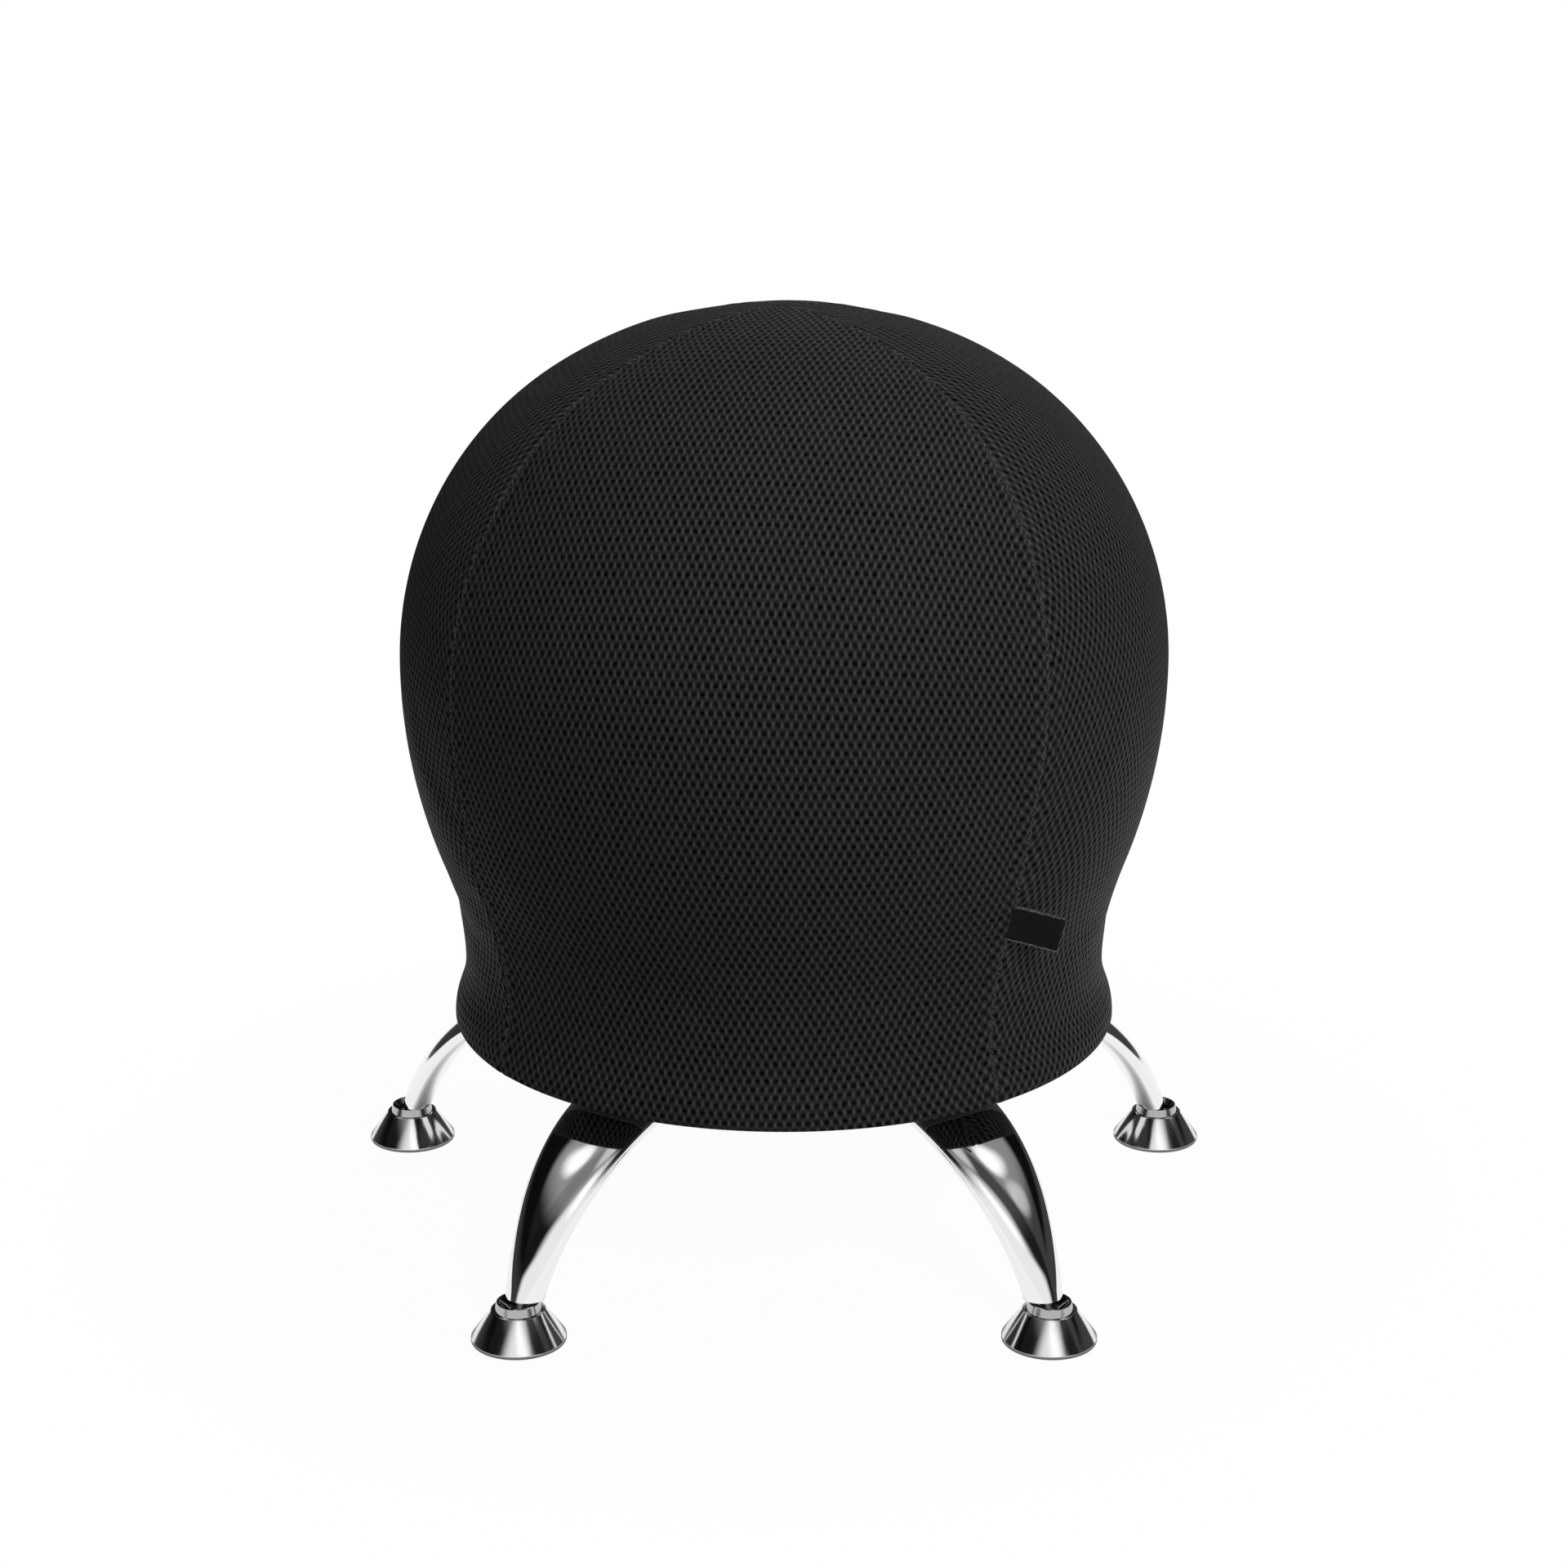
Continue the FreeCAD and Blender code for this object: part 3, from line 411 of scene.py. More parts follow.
def metal_shader(name, colour, rough, grain):
    """Plated or painted steel: fine grain, blotches and a little wear."""
    s = Shader(name, Metallic=0.9)
    fine = s.noise(grain, 4.0, 0.6)
    blotch = s.noise(45, 4.0)
    base = s.blend(s.smooth(blotch, 0.35, 0.7), colour, darker(colour, 0.78))
    s.put("Base Color", s.blend(s.smooth(fine, 0.66, 0.78, 0.0, 0.35), base, grey(0.5)))
    s.put("Roughness", s.smooth(fine, 0.3, 0.7, rough - 0.08, rough + 0.1))
    s.bump(fine, 0.08 * MM, 0.5)
    return s.material


def painted_shader():
    """Black powder coat on the mounting plates: a fine orange peel with a few rubbed spots."""
    s = Shader("powder_coat", Roughness=0.45, Specular_IOR_Level=0.5)
    peel = s.noise(1300, 2.0)
    rubbed = s.noise(70, 5.0, 0.7)
    s.put("Base Color", s.blend(s.smooth(rubbed, 0.66, 0.8), grey(0.022, 0.001), grey(0.07, 0.002)))
    s.bump(peel, 0.12 * MM, 0.6)
    return s.material


def moulded_shader(name, colour, rough, grain=700):
    """Moulded plastic or rubber: a spark-eroded grain and slight mottling."""
    s = Shader(name, Specular_IOR_Level=0.5)
    fine = s.noise(grain, 3.0, 0.6)
    broad = s.noise(30, 3.0)
    pale = tuple(min(1, c * 1.5 + 0.01) for c in colour[:3]) + (1,)
    s.put("Base Color", s.blend(s.smooth(broad, 0.3, 0.75), colour, pale))
    s.put("Roughness", s.smooth(fine, 0.3, 0.7, rough - 0.06, rough + 0.1))
    s.bump(fine, 0.1 * MM, 0.45)
    return s.material


def plywood_shader():
    """Plywood with near-black faces over faint grain, and bare veneers round the edge."""
    s = Shader("faced_ply", Specular_IOR_Level=0.4)
    grain = s.noise(26, 6.0, 0.62, s.stretch(1, 14, 1))
    pores = s.noise(260, 3.0, 0.6, s.stretch(1, 18, 1))
    # The faces are near black, so that the chrome feet mirror the board's underside dark
    face_tone = s.blend(s.smooth(grain, 0.3, 0.72), (0.016, 0.015, 0.014, 1), (0.030, 0.028, 0.026, 1))
    face_tone = s.blend(s.smooth(pores, 0.62, 0.78, 0.0, 0.5), face_tone, (0.06, 0.055, 0.05, 1))
    veneer = s.blend(s.smooth(pores, 0.35, 0.7), (0.42, 0.29, 0.17, 1), (0.60, 0.45, 0.29, 1))
    _, _, z = s.split(s.place())
    ply = s.math("FRACT", s.math("DIVIDE", s.minus(z, BOARD_BOTTOM), 1.5 * MM))
    edge = s.blend(s.smooth(ply, 0.80, 0.92), veneer, (0.12, 0.07, 0.04, 1))
    normal = s.split(s.node("ShaderNodeNewGeometry").outputs["Normal"])
    side = s.smooth(s.absolute(normal[2]), 0.8, 0.5)
    s.put("Base Color", s.blend(side, face_tone, edge))
    s.put("Roughness", s.smooth(grain, 0.3, 0.7, 0.42, 0.6))
    s.bump(pores, 0.12 * MM, 0.5)
    return s.material


def felt_shader():
    """The grey felt of the glide pads."""
    s = Shader("glide_felt", Roughness=0.95, Sheen_Weight=0.5)
    hairs = s.noise(1500, 4.0, 0.7)
    s.put("Base Color", s.blend(hairs, grey(0.05), grey(0.16)))
    s.bump(hairs, 0.4 * MM, 0.8)
    return s.material


# Cover

def cover_outline():
    """The cover's outer face from the crown down, under the rim and back along the hem's edge."""
    crown_radius = (
        COVER_RADIUS ** 2 + crown_over_belly ** 2 - 2 * COVER_RADIUS * shoulder_radius
    ) / (2 * SHOULDER_DROP)
    crown_centre = CROWN - crown_radius
    shoulder_centre = COVER_RADIUS - shoulder_radius
    shoulder = math.degrees(math.atan2(belly_height - crown_centre, shoulder_centre))
    waist_sum = (WAIST_DEPTH ** 2 + BELLY_OVER_NECK ** 2) / (2 * WAIST_DEPTH)
    waist = math.degrees(math.asin(BELLY_OVER_NECK / waist_sum))
    neck_arc = waist_sum - BELLY_ARC
    skirt_sum = (RIM_FLARE ** 2 + NECK_OVER_RIM ** 2) / (2 * RIM_FLARE)
    skirt = math.degrees(math.asin(NECK_OVER_RIM / skirt_sum))
    skirt_arc = skirt_sum - RIM_ARC
    step = 7 * MM
    neck = (neck_radius + neck_arc, neck_height)
    hollow = (neck_radius + skirt_arc, neck_height)
    turn = (rim_radius - HEM_TURN, rim_height)
    points = arc_points((0, crown_centre), crown_radius, 90, shoulder, step)
    points += arc_points((shoulder_centre, belly_height), shoulder_radius, shoulder, 0, step)
    points += arc_points((COVER_RADIUS - BELLY_ARC, belly_height), BELLY_ARC, 0, -waist, step)
    points += arc_points(neck, neck_arc, 180 - waist, 180, step)
    points += arc_points(hollow, skirt_arc, 180, 180 + skirt, step)
    points += arc_points((rim_radius - RIM_ARC, rim_height), RIM_ARC, skirt, 0, 4 * MM)
    points += arc_points(turn, HEM_TURN, 0, -90, 0.8 * MM)
    under = rim_height - HEM_TURN
    steps = 4
    for i in range(steps):
        points.append((turn[0] + (hem_inner_radius - turn[0]) * i / steps, under))
    edge = (hem_inner_radius, under)
    points += [edge, (hem_inner_radius - 0.3 * MM, under + CLOTH / 2), (hem_inner_radius, under + CLOTH)]
    points += [(hem_inner_radius + HEM_EDGE_RETURN, under + CLOTH)]
    return points[1:]


def outline_normals(points):
    """Outward normals along an outline of radius and height that runs down."""
    places = np.array(points)
    slope = np.gradient(places, axis=0)
    normals = np.stack([-slope[:, 1], slope[:, 0]], 1)
    return normals / np.linalg.norm(normals, axis=1)[:, None]


# The two front seams stray from their planes: degrees per millimetre above a height, and degrees
RIGHT_SEAM_LEAN = 0.024
RIGHT_SEAM_LEAN_FROM = 290
RIGHT_SEAM_LEAN_START = 30
LEFT_SEAM = 3
LEFT_SEAM_TURN = -2.0


def seam_angle(seam, height):
    """The angle of a seam at a height. Sewn seams never run quite true, and the two front ones show it."""
    angle = FIRST_SEAM + 2 * math.pi * seam / GORES
    if seam % GORES == 0:
        above = height / MM - RIGHT_SEAM_LEAN_FROM
        angle += math.radians(RIGHT_SEAM_LEAN * (above + math.hypot(above, RIGHT_SEAM_LEAN_START)) / 2)
    if seam % GORES == LEFT_SEAM:
        angle += math.radians(LEFT_SEAM_TURN)
    return angle


def gore_middle(gore):
    """The plain middle line of a gore, from which its holes are counted."""
    return FIRST_SEAM + 2 * math.pi * (gore + 0.5) / GORES


def column_angles(local, height):
    """Angles of all columns at a height, their angle from the nearest seam and from their gore's middle."""
    quarter = 2 * math.pi / GORES
    angles, offsets, sides = [], [], []
    for gore in range(GORES):
        start, end = seam_angle(gore, height), seam_angle(gore + 1, height)
        for a in local:
            share = (end - start) / quarter
            angles.append(start + a * share)
            offsets.append(min(a, quarter - a) * share)
            sides.append(start + a * share - gore_middle(gore))
    return angles, np.array(offsets), np.array(sides)


# Distances from a seam, in millimetres, where the cover has an extra column
SEAM_COLUMNS = (0.9, 2.0, 3.3, 5.0, 7.2)
PLAIN_COLUMNS = 40


def gore_angles():
    """Angles within one gore from its first seam, closer together beside the seams."""
    quarter = 2 * math.pi / GORES
    near = [distance * MM / COVER_RADIUS for distance in SEAM_COLUMNS]
    inner = [quarter * i / PLAIN_COLUMNS for i in range(1, PLAIN_COLUMNS)]
    return [0] + near + inner + [quarter - angle for angle in reversed(near)]


# Spacing of the holes across a gore at a few heights, and between their rows, in millimetres
HOLE_SPACING = ((130, 5.4), (180, 5.1), (300, 5.06), (380, 4.95), (460, 4.79), (580, 4.7))
ROW_SPACING = 5.1
ROWS_LEVEL_AT = 235
ROW_DROOP = 6.8e-6
SIDE_STRETCH = 0.122


def hole_places(angle, radius, height, along):
    """Where a point lies among the holes: counted across and along from the gore's middle line."""
    heights, spacings = zip(*HOLE_SPACING)
    pitch = np.interp(height / MM, heights, spacings)
    side = radius * angle / MM
    u = side * (1 - SIDE_STRETCH * angle ** 2) / pitch
    droop = ROW_DROOP * (height / MM - ROWS_LEVEL_AT)
    v = (along / MM + droop * side ** 2 / 2) / ROW_SPACING
    return u, v


# The inflation: its copy of the cover lies inside the cover's face and is drawn in beside the seams.
# The copy is held at the rim, and the hold fades out over a run that ends just above the neck.
INFLATION_INSET = 3 * MM
INFLATION_COLUMNS = 72
INFLATION_VOXEL = 6 * MM
INFLATION_FRAMES = 20
SEAM_GRIP = 12 * MM
PIN_RISE = 30 * MM
PIN_RUN = 60 * MM
NEIGHBOURS = 6

# The air and the cloth, by the names of the simulation's own settings
AIR = {
    "quality": 6, "mass": 0.3, "tension_stiffness": 12, "compression_stiffness": 12,
    "shear_stiffness": 6, "bending_stiffness": 0.6, "use_pressure": True, "uniform_pressure_force": 4,
    "vertex_group_mass": "pinned", "vertex_group_structural_stiffness": "seams",
    "tension_stiffness_max": 60, "vertex_group_shrink": "seams", "shrink_min": 0.0, "shrink_max": 0.035,
}


def inflated_swell(points, normals):
    """Inflates a copy of the cover as cloth and returns a function that gives how far it swells."""
    columns = INFLATION_COLUMNS
    upper = [i for i, p in enumerate(points) if p[1] > rim_height][::2]
    vertices = [(AXIS.x, AXIS.y, CROWN - INFLATION_INSET)]
    for i in upper:
        radius = points[i][0] - normals[i][0] * INFLATION_INSET
        height = points[i][1] - normals[i][1] * INFLATION_INSET
        for turn in full_turn(columns):
            vertices.append(round_point(radius, FIRST_SEAM + turn, height))
    faces = [(0, 1 + (k + 1) % columns, 1 + k) for k in range(columns)]
    for face in round_grid((len(upper), columns)):
        faces.append(tuple(1 + corner for corner in face))
    bottom = 1 + (len(upper) - 1) * columns
    faces.append(tuple(range(bottom, bottom + columns)))
    ball = outward(new_object("cover_inflation", vertices, faces, body=None))

    remesh = ball.modifiers.new("even", "REMESH")
    remesh.mode = "VOXEL"
    remesh.voxel_size = INFLATION_VOXEL
    bpy.context.view_layer.update()
    even = bpy.data.meshes.new_from_object(ball.evaluated_get(bpy.context.evaluated_depsgraph_get()))
    ball.modifiers.clear()
    ball.data = even
    start = np.array([v.co for v in even.vertices])

    pinned = ball.vertex_groups.new(name="pinned")
    seams = ball.vertex_groups.new(name="seams")
    for index, place in enumerate(start):
        around = math.atan2(place[1] - AXIS.y, place[0] - AXIS.x)
        radius = math.hypot(place[0] - AXIS.x, place[1] - AXIS.y)
        turns = [around - seam_angle(seam, place[2]) for seam in range(GORES)]
        offset = min(abs((turn + math.pi) % (2 * math.pi) - math.pi) for turn in turns) * radius
        seams.add([index], max(0.0, 1 - offset / SEAM_GRIP), "REPLACE")
        low = min(1.0, max(0.0, (neck_height + PIN_RISE - place[2]) / PIN_RUN))
        pinned.add([index], low, "REPLACE")

    cloth = ball.modifiers.new("air", "CLOTH")
    for setting, value in AIR.items():
        setattr(cloth.settings, setting, value)
    cloth.settings.effector_weights.gravity = 0
    cloth.collision_settings.use_self_collision = False
    scene = bpy.context.scene
    for step in range(1, INFLATION_FRAMES + 1):
        scene.frame_set(step)
    blown = ball.evaluated_get(bpy.context.evaluated_depsgraph_get())
    end = np.array([v.co for v in blown.data.vertices])
    scene.frame_set(1)
    bpy.data.objects.remove(ball)

    tree = KDTree(len(start))
    for index, place in enumerate(start):
        tree.insert(place, index)
    tree.balance()
    moved = end - start

    def swell(place, normal):
        near = tree.find_n(place, NEIGHBOURS)
        weights = [1 / (distance + 1 * MM) for _, _, distance in near]
        total = sum(w * float(np.dot(moved[index], normal)) for w, (_, index, _) in zip(weights, near))
        return total / sum(weights)

    return swell


# The ball lies one cloth and a gap below the cover's face, so the cover sinks by less than that
SWELL_SHARE = 0.45
SWELL_OUT = 3 * MM
SWELL_IN = 1.2 * MM
CROWN_CALM = 80 * MM

# The seams flatten toward the crown, and on the turned edge they show only in part
CROWN_FLAT = 40 * MM
TURNED_SHARE = 0.35

# The seam's valley, the lips beside it and the puckers across them, in millimetres
VALLEY_DEPTH = 0.8
VALLEY_HALF = 1.4
LIP_RISE = 0.4
LIP_PLACE = 4.2
LIP_HALF = 2.4
PUCKER_RISE = 0.28
PUCKER_LENGTH = 1.9
PUCKER_DRIFT = 1.3
DRIFT_LENGTH = 23
PUCKER_HALF = 6.5
SEAM_FAR = 20


def run_lengths(points):
    """How far along an outline each of its points lies."""
    steps = np.linalg.norm(np.diff(np.array(points), axis=0), axis=1)
    return np.concatenate([[0], np.cumsum(steps)])


def hump(distance, half):
    return np.exp(-(distance / half) ** 2)


def gentle(swelling):
    """Eases a swelling toward its greatest reach out and in, without a plateau."""
    out = SWELL_OUT * np.tanh(swelling / SWELL_OUT)
    inward = SWELL_IN * np.tanh(swelling / SWELL_IN)
    return np.where(swelling > 0, out, inward)


def cover_swelling(points, normals, layout):
    """How far the air lifts each point of the cover, by row and column."""
    swelling = np.zeros((len(points), len(layout[0][0])))
    swell = inflated_swell(points, normals)
    for row, ((radius, height), normal, (angles, _, _)) in enumerate(zip(points, normals, layout)):
        if height < rim_height:
            continue
        for column, angle in enumerate(angles):
            out = (normal[0] * math.cos(angle), normal[0] * math.sin(angle), normal[1])
            swelling[row, column] = swell(round_point(radius, angle, height), out)
    radii, heights = np.array(points).T
    settled = np.median(swelling[heights > neck_height + PIN_RISE])
    fade = np.clip((heights - neck_height + PIN_RISE) / PIN_RUN, 0, 1)[:, None]
    calm = np.clip(radii / CROWN_CALM, 0, 1)[:, None] ** 2
    return calm * gentle(SWELL_SHARE * (swelling - settled * fade))


def map_holes(cover, points, layout, along):
    """Keeps each point's place among the holes per face corner, because the count jumps at each seam."""
    columns = len(layout[0][0])
    top = len(points) * columns
    holes = cover.data.attributes.new("holes", "FLOAT_VECTOR", "CORNER")
    values = np.zeros((len(cover.data.loops), 3))
    places = [hole_places(layout[i][2], points[i][0], points[i][1], along[i]) for i in range(len(points))]
    for face in cover.data.polygons:
        cells = [cover.data.loops[l].vertex_index for l in face.loop_indices]
        known = [c % columns for c in cells if c != top]
        gore = min(known) * GORES // columns
        if max(known) - min(known) > columns / 2:
            gore = GORES - 1
        for l, cell in zip(face.loop_indices, cells):
            if cell == top:
                values[l] = (0, (along[0] + points[0][0]) / MM / ROW_SPACING, 0)
                continue
            row, k = divmod(cell, columns)
            u, v = places[row][0][k], places[row][1][k]
            if k * GORES // columns != gore:
                side = seam_angle(gore + 1, points[row][1]) - gore_middle(gore)
                u, v = hole_places(side, points[row][0], points[row][1], along[row])
            values[l] = (u, v, min(layout[row][1][k] * points[row][0] / MM, SEAM_FAR))
    holes.data.foreach_set("vector", values.astype(np.float32).ravel())


def make_cover():
    """The sewn cover as one mesh: blown out between its seams, with the seams drawn in."""
    points = cover_outline()
    normals = outline_normals(points)
    local = gore_angles()
    columns = len(local) * GORES
    lengths = run_lengths(points)
    level_row = int(np.argmin([abs(p[1] - ROWS_LEVEL_AT * MM) for p in points]))
    along = lengths[level_row] - lengths
    layout = [column_angles(local, height) for _, height in points]
    swelling = cover_swelling(points, normals, layout)
    vertices = []
    for index, ((radius, height), normal) in enumerate(zip(points, normals)):
        angles, offsets, _ = layout[index]
        distance = offsets * radius / MM
        s = along[index] / MM
        shown = 1.0 if height > rim_height - 1 * MM else TURNED_SHARE
        valley = LIP_RISE * hump(distance - LIP_PLACE, LIP_HALF) - VALLEY_DEPTH * hump(distance, VALLEY_HALF)
        wave = np.sin(s / PUCKER_LENGTH + PUCKER_DRIFT * np.sin(s / DRIFT_LENGTH))
        pucker = PUCKER_RISE * wave * hump(distance, PUCKER_HALF)
        flat = min(1.0, radius / CROWN_FLAT)
        stand = (valley + pucker * flat) * MM * shown * flat + swelling[index]
        for off, angle in zip(stand, angles):
            vertices.append(round_point(radius + normal[0] * off, angle, height + normal[1] * off))
    faces = [tuple(reversed(face)) for face in round_grid((len(points), columns))]
    top = len(vertices)
    vertices.append((AXIS.x, AXIS.y, CROWN))
    faces += [(k, (k + 1) % columns, top) for k in range(columns)]
    cover = new_object("mesh_cover", vertices, faces)
    cover.data.materials.append(cloth_shader())
    map_holes(cover, points, layout, along)
    finer = cover.modifiers.new("finer", "SUBSURF")
    finer.levels = 1
    finer.render_levels = 1
    shade(cover)
    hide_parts(*["cover_gore_%d" % (g + 1) for g in range(GORES)])
    return cover


STITCH_SPACING = 3.7 * MM
STITCH_LENGTH = 5.2 * MM
STITCH_THICKNESS = 0.46 * MM
STITCH_LEAN = math.radians(46)
STITCH_ARCH = 0.42 * MM
STITCH_STAND = 0.22 * MM
STITCH_WANDER = 0.12
STITCH_FULLNESS = 0.94
STITCH_FLATNESS = 1.3
STITCH_TIP = 0.05 * MM
STITCH_STATIONS = 5
STITCH_SIDES = 6


def make_stitches(cover):
    """Zigzag stitches that hold each pair of gores together, laid on the cover itself."""
    tree = BVHTree.FromObject(cover, bpy.context.evaluated_depsgraph_get())
    points = [p for p in cover_outline() if p[1] > rim_height]
    places = np.array(points)
    lengths = run_lengths(points)
    count = int(lengths[-1] / STITCH_SPACING)
    vertices, faces = [], []
    for seam in range(GORES):
        for i in range(2, count):
            at = i * STITCH_SPACING
            radius = np.interp(at, lengths, places[:, 0])
            height = np.interp(at, lengths, places[:, 1])
            angle = seam_angle(seam, height)
            out, side = ways(angle)
            below = np.interp(at + 1 * MM, lengths, places[:, 0])
            lower = np.interp(at + 1 * MM, lengths, places[:, 1])
            down = (out * (below - radius) + up(lower - height)).normalized()
            lean = STITCH_LEAN * (1 if i % 2 else -1) + STITCH_WANDER * math.sin(i * 2.3 + seam)
            run = (down * math.cos(lean) + side * math.sin(lean)).normalized()
            middle = AXIS + out * radius + up(height)
            found, normal, _, _ = tree.find_nearest(middle)
            if found is None:
                continue
            if normal.dot(out + up(1 if height > belly_height else -1)) < 0:
                normal = -normal
            across = normal.cross(run).normalized()
            faces += tube_faces(len(vertices), STITCH_STATIONS, STITCH_SIDES)
            for j in range(STITCH_STATIONS):
                t = 2 * j / (STITCH_STATIONS - 1) - 1
                swell = math.sqrt(max(0.0, 1 - t * t * STITCH_FULLNESS))
                spot = found + run * t * STITCH_LENGTH / 2 + normal * (STITCH_ARCH * swell + STITCH_STAND)
                size = STITCH_THICKNESS * swell / 2 + STITCH_TIP
                for a in full_turn(STITCH_SIDES):
                    ring = across * math.cos(a) * STITCH_FLATNESS + normal * math.sin(a)
                    vertices.append(spot + ring * size)
    stitches = shade(new_object("seam_stitches", vertices, faces))
    stitches.data.materials.append(thread_shader("black_thread", grey(0.055, 0.001), 900))


# Gathered hem under the board

CASING_WIDTH = 14 * MM
CASING_HEIGHT = 4.4 * MM
CASING_WALL = 0.9 * MM
PLEAT_DEPTH = 0.7 * MM
PLEAT_SPREAD = 0.9 * MM
PLEAT_RISE = 0.62 * MM
ELASTIC_WIDTH = 9 * MM
ELASTIC_RIBS = 7
ELASTIC_HALF = 0.5 * MM
ELASTIC_RIB_RISE = 0.3 * MM
GATHERS = 84


def weave_map(piece, values):
    """Stores where each vertex lies in the cloth: along, across, and how near its edge."""
    layer = piece.data.attributes.new("weave", "FLOAT_VECTOR", "POINT")
    layer.data.foreach_set("vector", np.array(values, np.float32).ravel())


def make_casing():
    """The cover's gathered casing: a folded channel, drawn into small pleats by its elastic."""
    outer = hem_inner_radius - SOFT_GAP
    inner = outer - CASING_WIDTH
    top = BOARD_BOTTOM - SOFT_GAP
    low = top - CASING_HEIGHT
    mid = (top + low) / 2
    bend = CASING_HEIGHT / 2
    fold = outer - bend
    flat = [inner, inner + 4 * MM, fold - 3 * MM, fold]
    outside = [(r, low) for r in flat]
    outside += [(fold + bend * math.sin(a), mid - bend * math.cos(a))
                for a in [math.pi * i / 6 for i in range(1, 6)]]
    outside += [(r, top) for r in reversed(flat)]
    inside = []
    for r, z in reversed(outside):
        pull = CASING_WALL if r > fold + 1e-6 else 0
        inside.append((max(inner, r - pull), mid + (z - mid) * (1 - CASING_WALL / bend)))
    outline = outside + inside
    segments = GATHERS * 8
    vertices, weave = [], []
    for radius, height in outline:
        free = (outer - radius) / CASING_WIDTH
        for a in full_turn(segments):
            wander = 0.9 * math.sin(3 * a + 0.7) + 0.6 * math.sin(7 * a + 2.1)
            pleat = math.sin(GATHERS * a + wander)
            drawn = (pleat * 0.5 - 0.5) * PLEAT_DEPTH * (1 - free * 0.2)
            spread = PLEAT_SPREAD * free * (0.5 + 0.5 * pleat)
            r = min(max(radius + drawn + spread, inner), outer)
            z = height + PLEAT_RISE * pleat * (0.35 + 0.65 * free) * (1 if height < mid else -0.4)
            vertices.append(round_point(r, a, min(max(z, low), top)))
            weave.append((a * outer * 1.6, radius + height, 0))
    faces = round_grid((len(outline), segments), closed_rows=True)
    casing = shade(outward(new_object("gathered_casing", vertices, faces)), 60)
    weave_map(casing, weave)
    casing.data.materials.append(woven_shader("casing_cloth", grey(0.035, 0.001), 1.1 * MM))
    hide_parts("hem_casing")


def make_elastic():
    """The ribbed elastic band inside the casing."""
    outer = hem_inner_radius - 2 * SOFT_GAP - 1 * MM
    middle = BOARD_BOTTOM - SOFT_GAP - CASING_HEIGHT / 2
    across = 4 * ELASTIC_RIBS
    upper = []
    for i in range(across + 1):
        share = i / across
        wave = 0.5 - 0.5 * math.cos(2 * math.pi * ELASTIC_RIBS * share)
        edge = min(1.0, 6 * share, 6 * (1 - share))
        rib = (ELASTIC_HALF + ELASTIC_RIB_RISE * wave) * (0.4 + 0.6 * edge)
        upper.append((outer - ELASTIC_WIDTH * share, rib))
    outline = [(r, middle + h) for r, h in upper] + [(r, middle - h) for r, h in reversed(upper)]
    segments = 360
    band = lathe("elastic_band", outline, AXIS, "stool", segments, None)
    weave_map(band, [(a * outer, radius, 0) for radius, _ in outline for a in full_turn(segments)])
    band.data.materials.append(woven_shader("elastic_weave", (0.60, 0.59, 0.56, 1), 0.8 * MM))
    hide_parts("hem_elastic")


# Legs

LEG_INNER_END = 82 * MM
LEG_STRAIGHT = 48.93 * MM
LEG_THICKNESS = 17 * MM
LEG_HALF_WIDTH = 30.4 * MM
LEG_TAPER_OFFSET = 19 * MM
LEG_END_SPREAD = 2.8 * MM
LEG_WALL = 2 * MM
LEG_SINK = 14 * MM
LEG_BEND_ANGLE = 1.24
LEG_LIP = 0.25 * MM
STUD_LEAN = math.radians(19)
LEG_END_HEIGHT = 26.3 * MM
BALL_HEIGHT = 14 * MM

# A leg's mesh: points round it, rings along its bend, the powers of its ovals, and its eased ends
LEG_POINTS = 56
LEG_BEND_STATIONS = 34
LEG_SQUARENESS = 2.6
LEG_END_SQUARENESS = 2.25
LEG_END_WIDENING = 0.12
LEG_NOSE = 0.05
LEG_NOSE_END = 0.06
LEG_MOUTH = 0.3

bend_centre = LEG_INNER_END + LEG_STRAIGHT
leg_end_radius = FOOT_CIRCLE - (LEG_END_HEIGHT - BALL_HEIGHT) * math.tan(STUD_LEAN)
bend_radius = (leg_end_radius - bend_centre) / math.cos(STUD_LEAN)
leg_axis_height = LEG_END_HEIGHT + bend_radius * (1 - math.sin(STUD_LEAN))
taper_start = bend_centre + LEG_TAPER_OFFSET
leg_end_half = LEG_THICKNESS / 2 + LEG_END_SPREAD
taper_run = leg_end_radius - taper_start
taper_drop = LEG_HALF_WIDTH - leg_end_half
taper_radius = (taper_run ** 2 + taper_drop ** 2) / (2 * taper_drop)


def leg_half(reach):
    """Half the leg's width at a distance from the seat's axis."""
    if reach <= taper_start:
        return LEG_HALF_WIDTH
    run = min(reach - taper_start, taper_radius)
    return LEG_HALF_WIDTH - (taper_radius - math.sqrt(taper_radius ** 2 - run ** 2))


def leg_section(turn, power):
    """A point of a rounded oval with a width and a height of 1 each side."""
    c, s = math.cos(turn), math.sin(turn)
    return (math.copysign(abs(c) ** (2 / power), c), math.copysign(abs(s) ** (2 / power), s))


def leg_point(station, across, off):
    """A point of the leg: station runs from 0 at the inner end over 1 at the bend to 2 at the foot."""
    if station <= 1:
        reach = LEG_INNER_END + LEG_STRAIGHT * station
        return reach, across * leg_half(reach), leg_axis_height + off
    radius = bend_radius + off
    centre_height = leg_axis_height - bend_radius
    full = math.acos(max(-1.0, min(1.0, (LEG_END_HEIGHT - centre_height) / radius)))
    turn = full * (station - 1)
    reach = bend_centre + radius * math.sin(turn)
    return reach, across * leg_half(reach), centre_height + radius * math.cos(turn)


